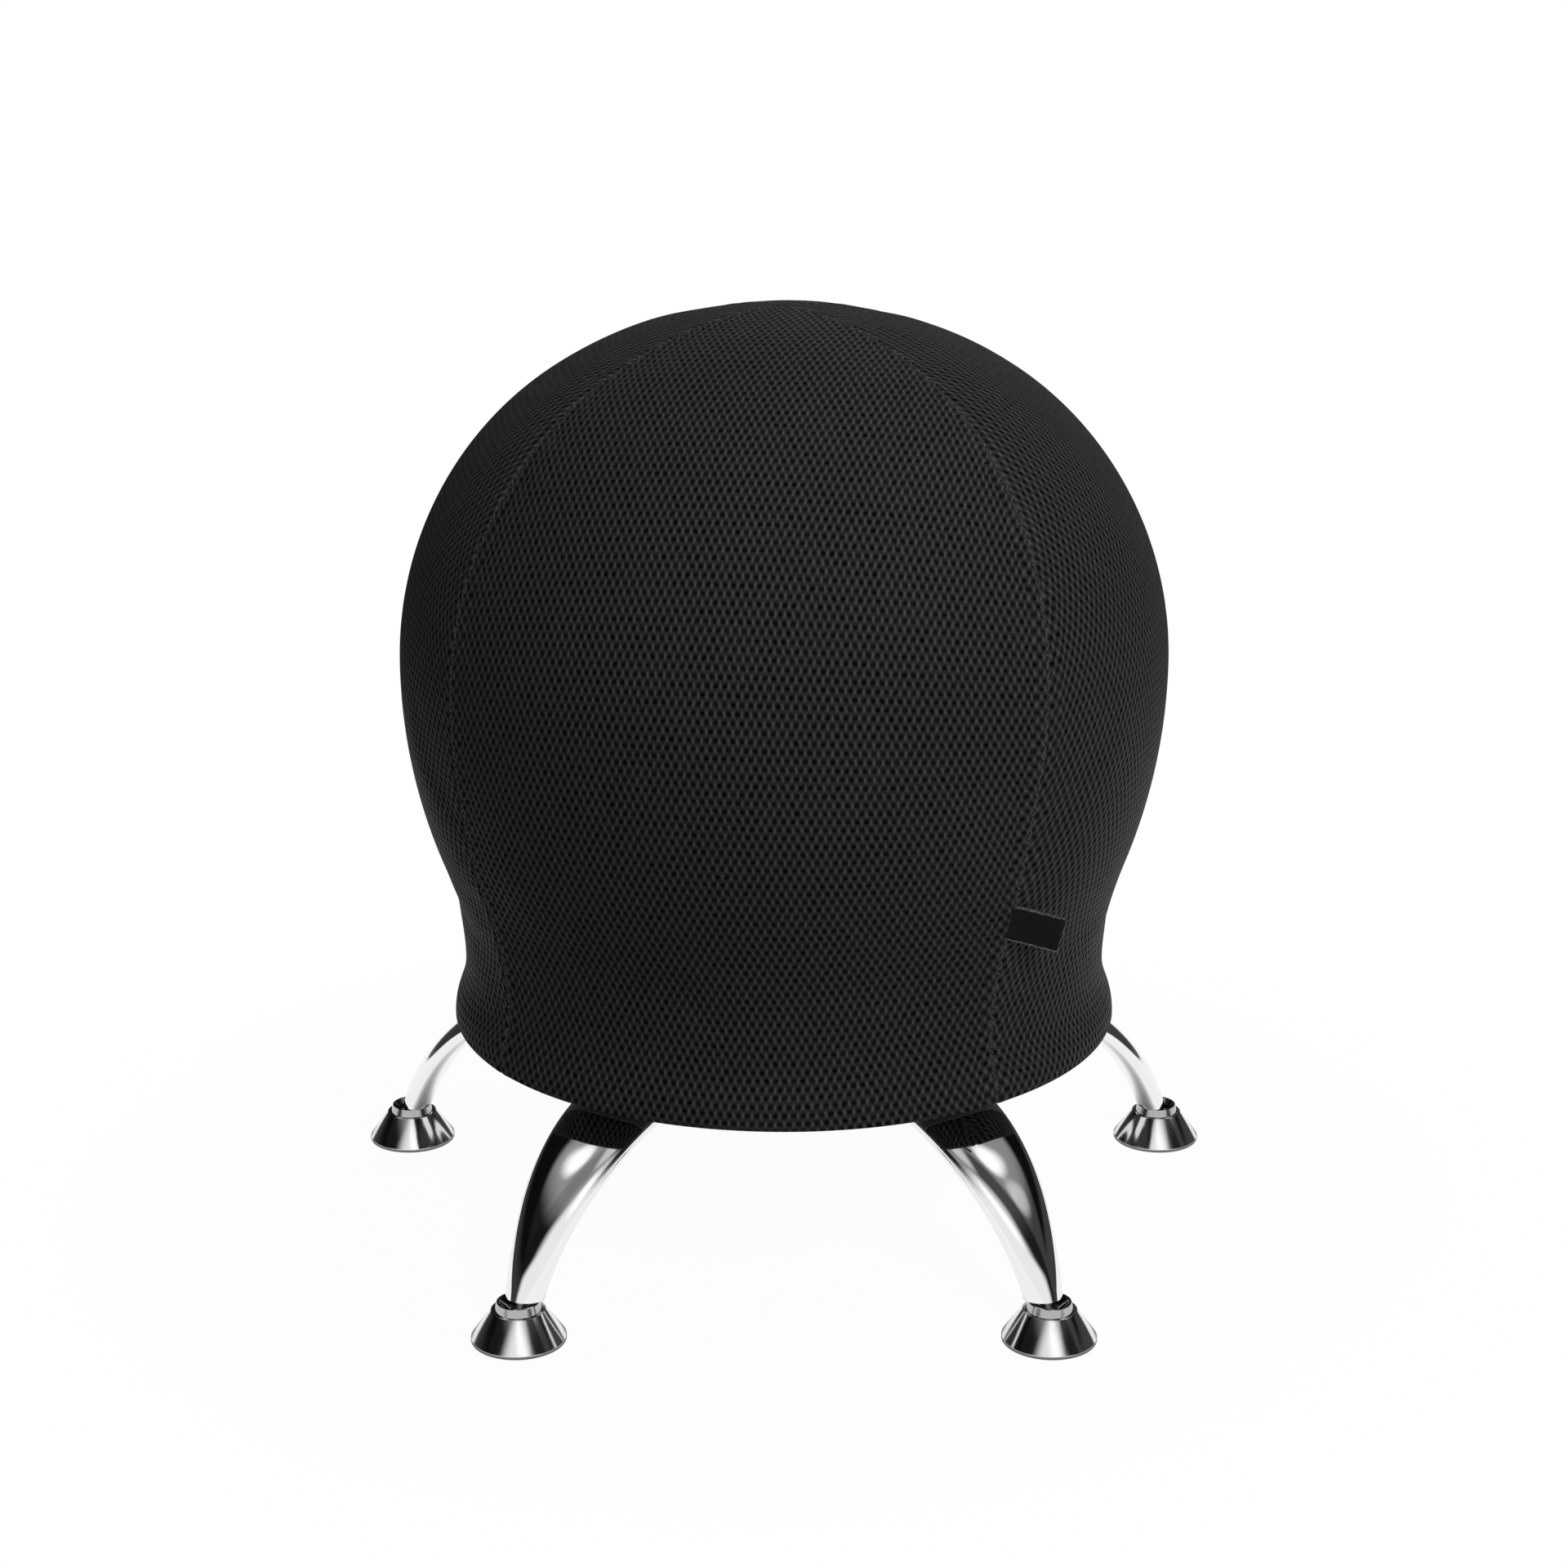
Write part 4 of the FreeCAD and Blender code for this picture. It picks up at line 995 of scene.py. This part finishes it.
def make_leg(number, chrome):
    """A bent tube, oval and wide at the board, narrow and nearly round at the foot."""
    around = full_turn(LEG_POINTS)
    bends = LEG_BEND_STATIONS
    stations = [0.0, 0.02, LEG_NOSE_END] + [0.1 + 0.9 * i / 8 for i in range(1, 9)]
    stations += [1 + i / bends for i in range(1, bends + 1)]
    half_height = LEG_THICKNESS / 2
    rings = []
    for station in stations:
        power = LEG_SQUARENESS - 0.4 * max(0.0, station - 1)
        wide = 1 + LEG_END_WIDENING * max(0.0, station - 1)
        nose = 1 - LEG_NOSE * max(0.0, 1 - station / LEG_NOSE_END) ** 2
        ring = []
        for turn in around:
            x, y = leg_section(turn, power)
            ring.append(leg_point(station, x * nose * wide, y * half_height * nose))
        rings.append(ring)
    inside = 1 - LEG_WALL / half_height

    # The lower end is open: these rings turn over the wall's edge and run up inside
    for share in (LEG_MOUTH, 1.0, 1.6, 2.0):
        station = 2 - LEG_SINK / (bend_radius * LEG_BEND_ANGLE) * max(0.0, share - 1)
        thin = 1 - (1 - inside) * min(1.0, share)
        wide = 1 + LEG_END_WIDENING - LEG_WALL / leg_end_half * min(1.0, share)
        ring = []
        for turn in around:
            x, y = leg_section(turn, LEG_END_SQUARENESS)
            reach, side, height = leg_point(station, x * wide, y * half_height * thin)
            ring.append((reach, side, height + (0 if share == LEG_MOUTH else LEG_LIP)))
        rings.append(ring)
    out, side = ways(leg_angle(number))
    vertices = [AXIS + out * r + side * w + up(h) for ring in rings for r, w, h in ring]
    faces = tube_faces(0, len(rings), LEG_POINTS)
    leg = shade(outward(new_object("chrome_leg_%d" % (number + 1), vertices, faces)), 50)
    leg.data.materials.append(chrome)
    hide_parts("leg_%d" % (number + 1))


WELD_ASIDE = 25.2 * MM
WELD_SINK = 0.9 * MM
WELD_RISE = 0.85 * MM
WELD_SIZE = 1.5 * MM
WELD_RIPPLE = 0.16
WELD_STATIONS = 61
WELD_POINTS = 8


def make_welds(metal):
    """A weld bead along each side of the leg where it meets its plate."""
    vertices, faces = [], []
    top = leg_axis_height + LEG_THICKNESS / 2
    for number in range(LEGS):
        out, side = ways(leg_angle(number))
        for hand in (-1, 1):
            faces += tube_faces(len(vertices), WELD_STATIONS, WELD_POINTS)
            for i in range(WELD_STATIONS):
                share = i / (WELD_STATIONS - 1)
                reach = LEG_INNER_END + 6 * MM + share * (LEG_STRAIGHT - 4 * MM)
                ripple = 1 + WELD_RIPPLE * math.sin(i * 2.1)
                end = math.sqrt(max(0.02, 1 - (2 * share - 1) ** 8))
                middle = AXIS + out * reach + side * hand * WELD_ASIDE + up(top - WELD_SINK)
                size = WELD_SIZE * ripple * end
                for a in full_turn(WELD_POINTS):
                    rise = min(math.sin(a) * size, WELD_RISE)
                    vertices.append(middle + side * math.cos(a) * size * 1.5 + up(rise))
    welds = shade(outward(new_object("leg_welds", vertices, faces)))
    welds.data.materials.append(metal)


# Feet

FOOT_RADIUS = 28.3 * MM
FOOT_TOP_RADIUS = 16 * MM
FOOT_TOP = 20.5 * MM
FOOT_LIP_START = 0.8 * MM
FOOT_LIP = 2.4 * MM
SOCKET_RADIUS = 11.6 * MM
CAP_SEAT_RADIUS = 25.6 * MM
PAD_HEIGHT = 2.5 * MM
CAP_FLOOR = 2 * MM
CAP_LIP = 0.8 * MM
CAP_SHOULDER = 0.9 * MM
CAP_RIM = 0.7 * MM
CAP_MIDDLE = 0.4 * MM

# The shown cap's floor lies a hair below the socket, so that the two share no face
CAP_FLOOR_GAP = 0.04 * MM


def foot_centre(number):
    return AXIS + ways(leg_angle(number))[0] * FOOT_CIRCLE


def make_foot_cap(number, chrome):
    """A spun cap: a rounded lip at the floor, a straight cone and a soft top edge."""
    lip_top = FOOT_LIP_START + FOOT_LIP
    slope = math.degrees(math.atan2(FOOT_RADIUS - FOOT_TOP_RADIUS, FOOT_TOP - lip_top))
    low_turn = (FOOT_RADIUS - CAP_LIP, FOOT_LIP_START + CAP_LIP)
    shoulder = (FOOT_RADIUS - CAP_SHOULDER, lip_top - CAP_SHOULDER / 2)
    top = (FOOT_TOP_RADIUS - CAP_RIM * 0.4, FOOT_TOP - CAP_RIM)
    bore_turn = (SOCKET_RADIUS + CAP_RIM / 2, FOOT_TOP - CAP_RIM / 2)
    floor = PAD_HEIGHT + CAP_FLOOR - CAP_FLOOR_GAP
    outline = [(CAP_SEAT_RADIUS, FOOT_LIP_START)]
    outline += arc_points(low_turn, CAP_LIP, -90, 0, 0.2 * MM)
    outline += arc_points(shoulder, CAP_SHOULDER, 0, slope, 0.12 * MM)
    outline += arc_points(top, CAP_RIM, slope, 90, 0.15 * MM)
    outline += arc_points(bore_turn, CAP_RIM / 2, 90, 180, 0.15 * MM)
    outline += [(SOCKET_RADIUS, FOOT_TOP - CAP_RIM / 2), (SOCKET_RADIUS, floor), (CAP_MIDDLE, floor),
                (CAP_MIDDLE, PAD_HEIGHT), (CAP_SEAT_RADIUS, PAD_HEIGHT)]
    name = "chrome_foot_%d" % (number + 1)
    cap = lathe(name, outline, foot_centre(number), "foot_%d" % (number + 1), 112, 35)
    cap.data.materials.append(chrome)
    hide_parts("foot_cap_%d" % (number + 1))


# Label

LABEL_FULLNESS = 1.2
LABEL_LIFT = 2.4 * MM
LABEL_CLOTH = 0.5 * MM
LABEL_GAP = 0.22 * MM
LABEL_CURL = 0.8 * MM
LABEL_WAVE = 0.5 * MM
LABEL_ALONG = 22
LABEL_ACROSS = 14
LABEL_FRAY = 0.012
LABEL_FOLD_SHARE = 0.985


def label_place():
    """The solid label's ways along, up and off the cloth, its middle, its length and its height."""
    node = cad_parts["seam_label"]
    places = np.array([v.co for v in node.data.vertices])
    largest = max(node.data.polygons, key=lambda face: face.area)
    off = Vector(largest.normal)
    if off.y > 0:
        off = -off
    level = up(1).cross(off).normalized()

    def size(way):
        return float(np.ptp(places @ np.array(way)))

    best = None
    for tenth in range(900):
        a = math.radians(tenth / 10)
        run = level * math.cos(a) + off.cross(level) * math.sin(a)
        rise = off.cross(run)
        area = size(run) * size(rise)
        if best is None or area < best[0]:
            best = (area, run, rise)
    _, run, rise = best
    if size(run) < size(rise):
        run, rise = rise, run
    if run.x < 0:
        run = -run
    if rise.z < 0:
        rise = -rise
    off = off.normalized()
    middle = up(0)
    for way in (run, rise, off):
        span = places @ np.array(way)
        middle += way * ((float(span.min()) + float(span.max())) / 2)
    return run, rise, off, middle, size(run), size(rise)


def make_label():
    """A bare folded ribbon sewn into the first seam, with a painted highlight on its edges and fold, and a
    soft curl.
    """
    run, rise, off, middle, length, height = label_place()
    start, end = -length / 2, length / 2
    half = LABEL_FULLNESS * height / 2
    thick = LABEL_CLOTH + LABEL_GAP
    fold = end - thick
    flat = [start + (fold - start) * i / LABEL_ALONG for i in range(LABEL_ALONG + 1)]
    path = [(reach, -1) for reach in flat]
    for i in range(1, 6):
        a = -math.pi / 2 + math.pi * i / 6
        path.append((fold + thick * math.cos(a), math.sin(a)))
    path += [(reach, 1) for reach in reversed(flat)]
    outer, inner = [], []
    for reach, level in path:
        outer.append((reach, level * thick))
        pull = LABEL_CLOTH * math.cos(math.asin(level)) if abs(level) < 1 else 0
        inner.append((reach - pull, level * LABEL_GAP))
    outline = outer + list(reversed(inner))
    vertices, weave = [], []
    for reach, level in outline:
        share = (reach - start) / (end - start)
        for j in range(LABEL_ACROSS + 1):
            t = 2 * j / LABEL_ACROSS - 1
            curl = LABEL_CURL * share ** 2 * t * t + LABEL_WAVE * math.sin(3.0 * share) * share
            curl += LABEL_LIFT * share ** 2
            edge = 1 - LABEL_FRAY * math.sin(26 * share + j)
            spot = middle + run * reach + rise * (t * half * edge) + off * (level + curl)
            vertices.append(spot)
            # The long edges and the fold end take the painted highlight
            weave.append((reach, t * half, max(abs(t), 1.0 if share > LABEL_FOLD_SHARE else 0.0)))
    faces = round_grid((len(outline), LABEL_ACROSS + 1), closed_round=False, closed_rows=True)
    label = shade(outward(new_object("seam_tab", vertices, faces)), 60)
    weave_map(label, weave)
    # A near-black ribbon, with pale grey as the painted highlight on its edges and fold
    label.data.materials.append(woven_shader(
        "label_ribbon", grey(0.005, 0.0005), 0.5 * MM, 0.03, grey(0.24)))
    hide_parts("seam_label")


# Ball

BALL_WALL = 1.8 * MM
VALVE_HOLE = 5.25 * MM
BALL_LEVELS = 160
POLE = 0.3 * MM


def make_ball():
    """The ball as a hollow skin, whose underside shows through the board's hand hole."""
    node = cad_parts["inflatable_ball"]
    low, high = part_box("inflatable_ball")
    tree = BVHTree.FromPolygons([v.co for v in node.data.vertices], [f.vertices for f in node.data.polygons])
    middle = Vector((AXIS.x, AXIS.y, (low.z + high.z) / 2))
    outer = []
    for i in range(BALL_LEVELS + 1):
        a = -math.pi / 2 + math.pi * i / BALL_LEVELS
        ray = Vector((math.cos(a), 0, math.sin(a)))
        spot, _, _, _ = tree.ray_cast(middle + ray, -ray)
        if spot is not None and spot.x - AXIS.x > VALVE_HOLE + 1 * MM:
            outer.append((spot.x - AXIS.x, spot.z))
    outer = [(VALVE_HOLE, outer[0][1])] + outer + [(POLE, high.z)]
    inner = []
    for (radius, height), normal in zip(outer, outline_normals(outer)):
        inner.append((max(radius + normal[0] * BALL_WALL, POLE), height + normal[1] * BALL_WALL))
    inner[0] = (VALVE_HOLE, outer[0][1] + BALL_WALL)
    ball = lathe("ball_skin", outer + inner[::-1], AXIS, "stool", 144, 40)
    ball.data.materials.append(moulded_shader("ball_vinyl", (0.045, 0.047, 0.05, 1), 0.42, 500))
    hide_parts("inflatable_ball")


# Finishes of the nodes that are shown as they are

def dress_nodes():
    """Gives each remaining part of the construction its finish, by the start of its name."""
    zinc = metal_shader("zinc_plate", (0.55, 0.55, 0.53, 1), 0.36, 900)
    collar = chrome_shader("collar_chrome", (0.46, 0.47, 0.48, 1), 0.1)
    plug = moulded_shader("leg_plug", (0.02, 0.02, 0.021, 1), 0.5)
    dish = moulded_shader("dish_plastic", (0.03, 0.03, 0.032, 1), 0.48, 600)
    valve = moulded_shader("valve_rubber", (0.55, 0.54, 0.50, 1), 0.5, 400)
    finishes = {
        "base_board": plywood_shader(), "ball_dish": dish, "ball_valve": valve, "valve_plug": valve,
        "leg_plate": painted_shader(), "leg_bolts": zinc, "tee_nuts": zinc, "ball_studs": zinc,
        "stud_plug": plug, "foot_socket": collar, "foot_pad": felt_shader(),
    }
    for name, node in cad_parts.items():
        for start, finish in finishes.items():
            if name.startswith(start):
                if not node.data.materials:
                    node.data.materials.append(finish)
                for holder in node.material_slots:
                    holder.material = finish


# Stage

SHADOW_SHARE = 0.04
FLOOR_HALF = 6.0
FLOOR_DROP = 0.3 * MM
FLOOR_WHITE = grey(0.93)
FLOOR_BOUNCE = grey(0.48)
FLOOR_BOUNCE_LEFT = grey(0.14)
# How far out and how dark the painted contact shadow round each foot reaches, as metal sees the floor
PAINTED_SHADOW_REACH = 34 * MM
PAINTED_SHADOW_DARKNESS = 0.85
FAR_DARK = 0.9


def make_floor():
    """A white floor with a light trace of the stool's shadow. Metal sees a painted shadow round each foot,
    and the floor dark far off to the sides behind.
    """
    corners = [(x * FLOOR_HALF, y * FLOOR_HALF, 0) for x, y in ((-1, -1), (1, -1), (1, 1), (-1, 1))]
    floor = new_object("floor", corners, [(0, 1, 2, 3)], body=None)
    floor.location.z = -FLOOR_DROP
    s = Shader("studio_floor", Roughness=0.9, Specular_IOR_Level=0.0)
    rays = s.node("ShaderNodeLightPath")
    x, y, _ = s.split(s.place())
    bounce = s.blend(s.smooth(x, -0.75, 0.1), FLOOR_BOUNCE_LEFT, FLOOR_BOUNCE)
    s.put("Base Color", s.blend(rays.outputs["Is Diffuse Ray"], FLOOR_WHITE, bounce))
    away = s.distance(x, y)
    sideways = s.times(s.smooth(s.absolute(x), 0.2, 0.5), s.smooth(y, 0.0, 0.4))
    far = s.times(s.smooth(away, 0.8, 1.5), sideways)

    # Metal sees a painted contact shadow round each foot where it meets the floor, set by the distance to
    # the nearest foot
    back = s.minus(y, AXIS.y)
    reach = s.distance(x, back)
    sector = 2 * math.pi / LEGS
    turned = s.plus(s.math("ARCTAN2", x, back), sector / 2)
    folded = s.minus(s.math("FLOORED_MODULO", turned, sector), sector / 2)
    ahead = s.minus(s.times(reach, s.math("COSINE", folded)), FOOT_CIRCLE)
    aside = s.times(reach, s.math("SINE", folded))
    apart = s.distance(ahead, aside)
    painted_contact_shadow = s.smooth(apart, FOOT_RADIUS, FOOT_RADIUS + PAINTED_SHADOW_REACH, PAINTED_SHADOW_DARKNESS, 0.0)
    dark = s.larger(s.times(far, FAR_DARK), painted_contact_shadow)
    white = s.node("ShaderNodeEmission")
    s.join(s.minus(1.0, s.times(rays.outputs["Is Glossy Ray"], dark)),
           white.inputs["Strength"])
    seen = s.larger(rays.outputs["Is Camera Ray"], rays.outputs["Is Glossy Ray"])
    seen = s.larger(seen, rays.outputs["Is Transmission Ray"])
    plain = s.smooth(away, 0.30, 0.60, 1 - SHADOW_SHARE, 1.0)
    mix = s.node("ShaderNodeMixShader")
    s.join(s.times(seen, plain), mix.inputs["Fac"])
    s.tree.links.new(s.surface.outputs[0], mix.inputs[1])
    s.tree.links.new(white.outputs[0], mix.inputs[2])
    s.tree.links.new(mix.outputs[0], s.tree.nodes["Material Output"].inputs["Surface"])
    floor.data.materials.append(s.material)


class Sky(Shader):
    """The same short calls on a world's nodes."""

    def __init__(self, world):
        world.use_nodes = True
        self.tree = world.node_tree
        self.surface = self.tree.nodes["Background"]
        self.surface.inputs["Color"].default_value = grey(1.0)


# Spots that polished metal mirrors: direction, whether on both sides, outer and inner edge, strength
SPOTS = (
    ((0.51, 0.09, 0.855), True, 0.982, 0.998, 0.9),
    ((0.73, -0.07, 0.68), False, 0.985, 0.999, 0.35),
    ((0.22, -0.70, 0.68), False, 0.93, 0.995, 0.35),
)

# How bright each thing is that metal or cloth sees, and the slant of the flags' front edge
LEFT_WALL_LOW = 0.012
LEFT_WALL_HIGH = 0.30
RIGHT_WALL_LOW = 0.05
RIGHT_WALL_HIGH = 0.27
SHEET_BRIGHT = 0.92
PANEL_BRIGHT = 0.6
SLANT_RISE = -1.45
SLANT_START = 0.80
LIT_LOW = 0.03
LIT_HIGH = 0.36


def make_world():
    """White to the camera; for the cloth a light from the right; for the chrome a studio with dark flags."""
    world = bpy.data.worlds.new("studio")
    bpy.context.scene.world = world
    s = Sky(world)
    x, y, z = s.split(s.node("ShaderNodeTexCoord").outputs["Generated"])
    aside = s.absolute(x)
    rays = s.node("ShaderNodeLightPath")

    # What polished metal sees: grey walls that go dark low down, and a bright sheet in front
    rightward = s.smooth(x, -0.15, 0.15)
    leftward = s.minus(1.0, rightward)
    left_wall = s.smooth(z, 0.58, 0.78, LEFT_WALL_LOW, LEFT_WALL_HIGH)
    right_wall = s.smooth(z, 0.50, 0.76, RIGHT_WALL_LOW, RIGHT_WALL_HIGH)
    wall = s.plus(s.times(rightward, right_wall), s.times(leftward, left_wall))
    frontal = s.scaled(aside, -0.45, s.times(y, -1.0))
    band = s.times(s.smooth(frontal, -0.16, -0.03), s.smooth(frontal, 0.42, 0.26))
    band = s.times(band, s.scaled(rightward, 0.45, 0.3))
    wall = s.times(wall, s.minus(1.0, band))

    # Black flags behind the sides: their front edge runs aslant
    slant = s.plus(s.scaled(z, SLANT_RISE, y), SLANT_START)
    left_flag = s.times(leftward, s.smooth(slant, -0.07, 0.09))
    right_flag = s.times(s.smooth(slant, 0.10, 0.30), s.smooth(z, 0.24, 0.38))
    right_flag = s.times(rightward, right_flag)
    flag = s.times(s.plus(left_flag, right_flag), s.smooth(aside, 0.25, 0.45))
    black = s.smooth(z, 0.1, 0.35, 0.04, 0.004)
    wall = s.plus(s.times(wall, s.minus(1.0, flag)), s.times(black, flag))

    # The sheet in front, a small ceiling panel and the spots
    toward = s.plus(frontal, s.smooth(z, 0.42, 0.22, 0.0, 0.28))
    sheet = s.smooth(toward, 0.30, 0.72, 0.0, SHEET_BRIGHT)
    panel = s.times(s.smooth(z, 0.84, 0.95), s.smooth(aside, 0.30, 0.12, 0.0, PANEL_BRIGHT))
    mirrored = s.larger(wall, s.larger(sheet, panel))
    for (a, b, c), both_sides, edge, core, strength in SPOTS:
        facing = s.plus(s.times(aside if both_sides else x, a), s.plus(s.times(y, b), s.times(z, c)))
        mirrored = s.plus(mirrored, s.smooth(facing, edge, core, 0.0, strength))

    # What rough surfaces see: light from above and from the right
    right = s.scaled(z, 0.6, s.times(x, 0.75))
    lit = s.smooth(right, -0.3, 0.9, LIT_LOW, LIT_HIGH)

    level = s.node("ShaderNodeMix", data_type="FLOAT")
    s.join(rays.outputs["Is Glossy Ray"], level.inputs[0])
    s.join(lit, level.inputs[2])
    s.join(mirrored, level.inputs[3])
    shown = s.larger(rays.outputs["Is Camera Ray"], rays.outputs["Is Transmission Ray"])
    final = s.node("ShaderNodeMix", data_type="FLOAT")
    s.join(shown, final.inputs[0])
    s.join(level.outputs[0], final.inputs[2])
    final.inputs[3].default_value = 1.0
    s.join(final.outputs[0], s.surface.inputs["Strength"])


# Area lamps aimed at the seat: name, place in metres, width and height in metres, watts
LAMPS = (
    ("key_softbox", (0.75, -1.8, 1.62), (0.8, 0.8), 23),
    ("left_fill", (-0.8, -0.6, 1.9), (0.6, 0.6), 4),
    ("side_strip", (1.7, 0.6, 1.5), (0.4, 1.2), 7.5),
    ("top_strip", (0.25, 0.9, 1.9), (1.2, 0.4), 1),
    ("back_fill", (0.3, 2.2, 1.15), (0.9, 0.9), 12),
)


def make_lights():
    """The lamps light the cloth and stay out of the chrome, which mirrors the world instead."""
    seat = Vector((AXIS.x, AXIS.y, belly_height))
    for name, place, size, power in LAMPS:
        data = bpy.data.lights.new(name, "AREA")
        data.shape = "RECTANGLE"
        data.size, data.size_y = size
        data.energy = power
        light = bpy.data.objects.new(name, data)
        light.location = place
        light.rotation_euler = (seat - Vector(place)).to_track_quat("-Z", "Y").to_euler()
        light.visible_glossy = False
        bpy.context.scene.collection.objects.link(light)


CAMERA_PLACE = (0, -1.8985, 0.850)
CAMERA_PITCH = math.radians(73.01)
CAMERA_LENS = 71.16


def make_camera():
    data = bpy.data.cameras.new("camera")
    data.sensor_width = 36
    data.lens = CAMERA_LENS
    data.clip_end = 30
    camera = bpy.data.objects.new("camera", data)
    camera.location = CAMERA_PLACE
    camera.rotation_euler = (CAMERA_PITCH, 0, 0)
    bpy.context.scene.collection.objects.link(camera)
    bpy.context.scene.camera = camera


def main():
    bpy.context.scene.view_settings.view_transform = "Standard"
    make_camera()
    make_world()
    make_lights()
    make_floor()
    cover = make_cover()
    make_stitches(cover)
    make_casing()
    make_elastic()
    make_label()
    make_ball()
    leg_chrome = chrome_shader("leg_chrome_finish", (0.86, 0.87, 0.88, 1), 0.035)
    foot_chrome = chrome_shader("foot_chrome_finish", (0.80, 0.81, 0.82, 1), 0.11)
    for number in range(LEGS):
        make_leg(number, leg_chrome)
        make_foot_cap(number, foot_chrome)
    make_welds(metal_shader("weld_metal", (0.30, 0.30, 0.31, 1), 0.4, 700))
    dress_nodes()


main()
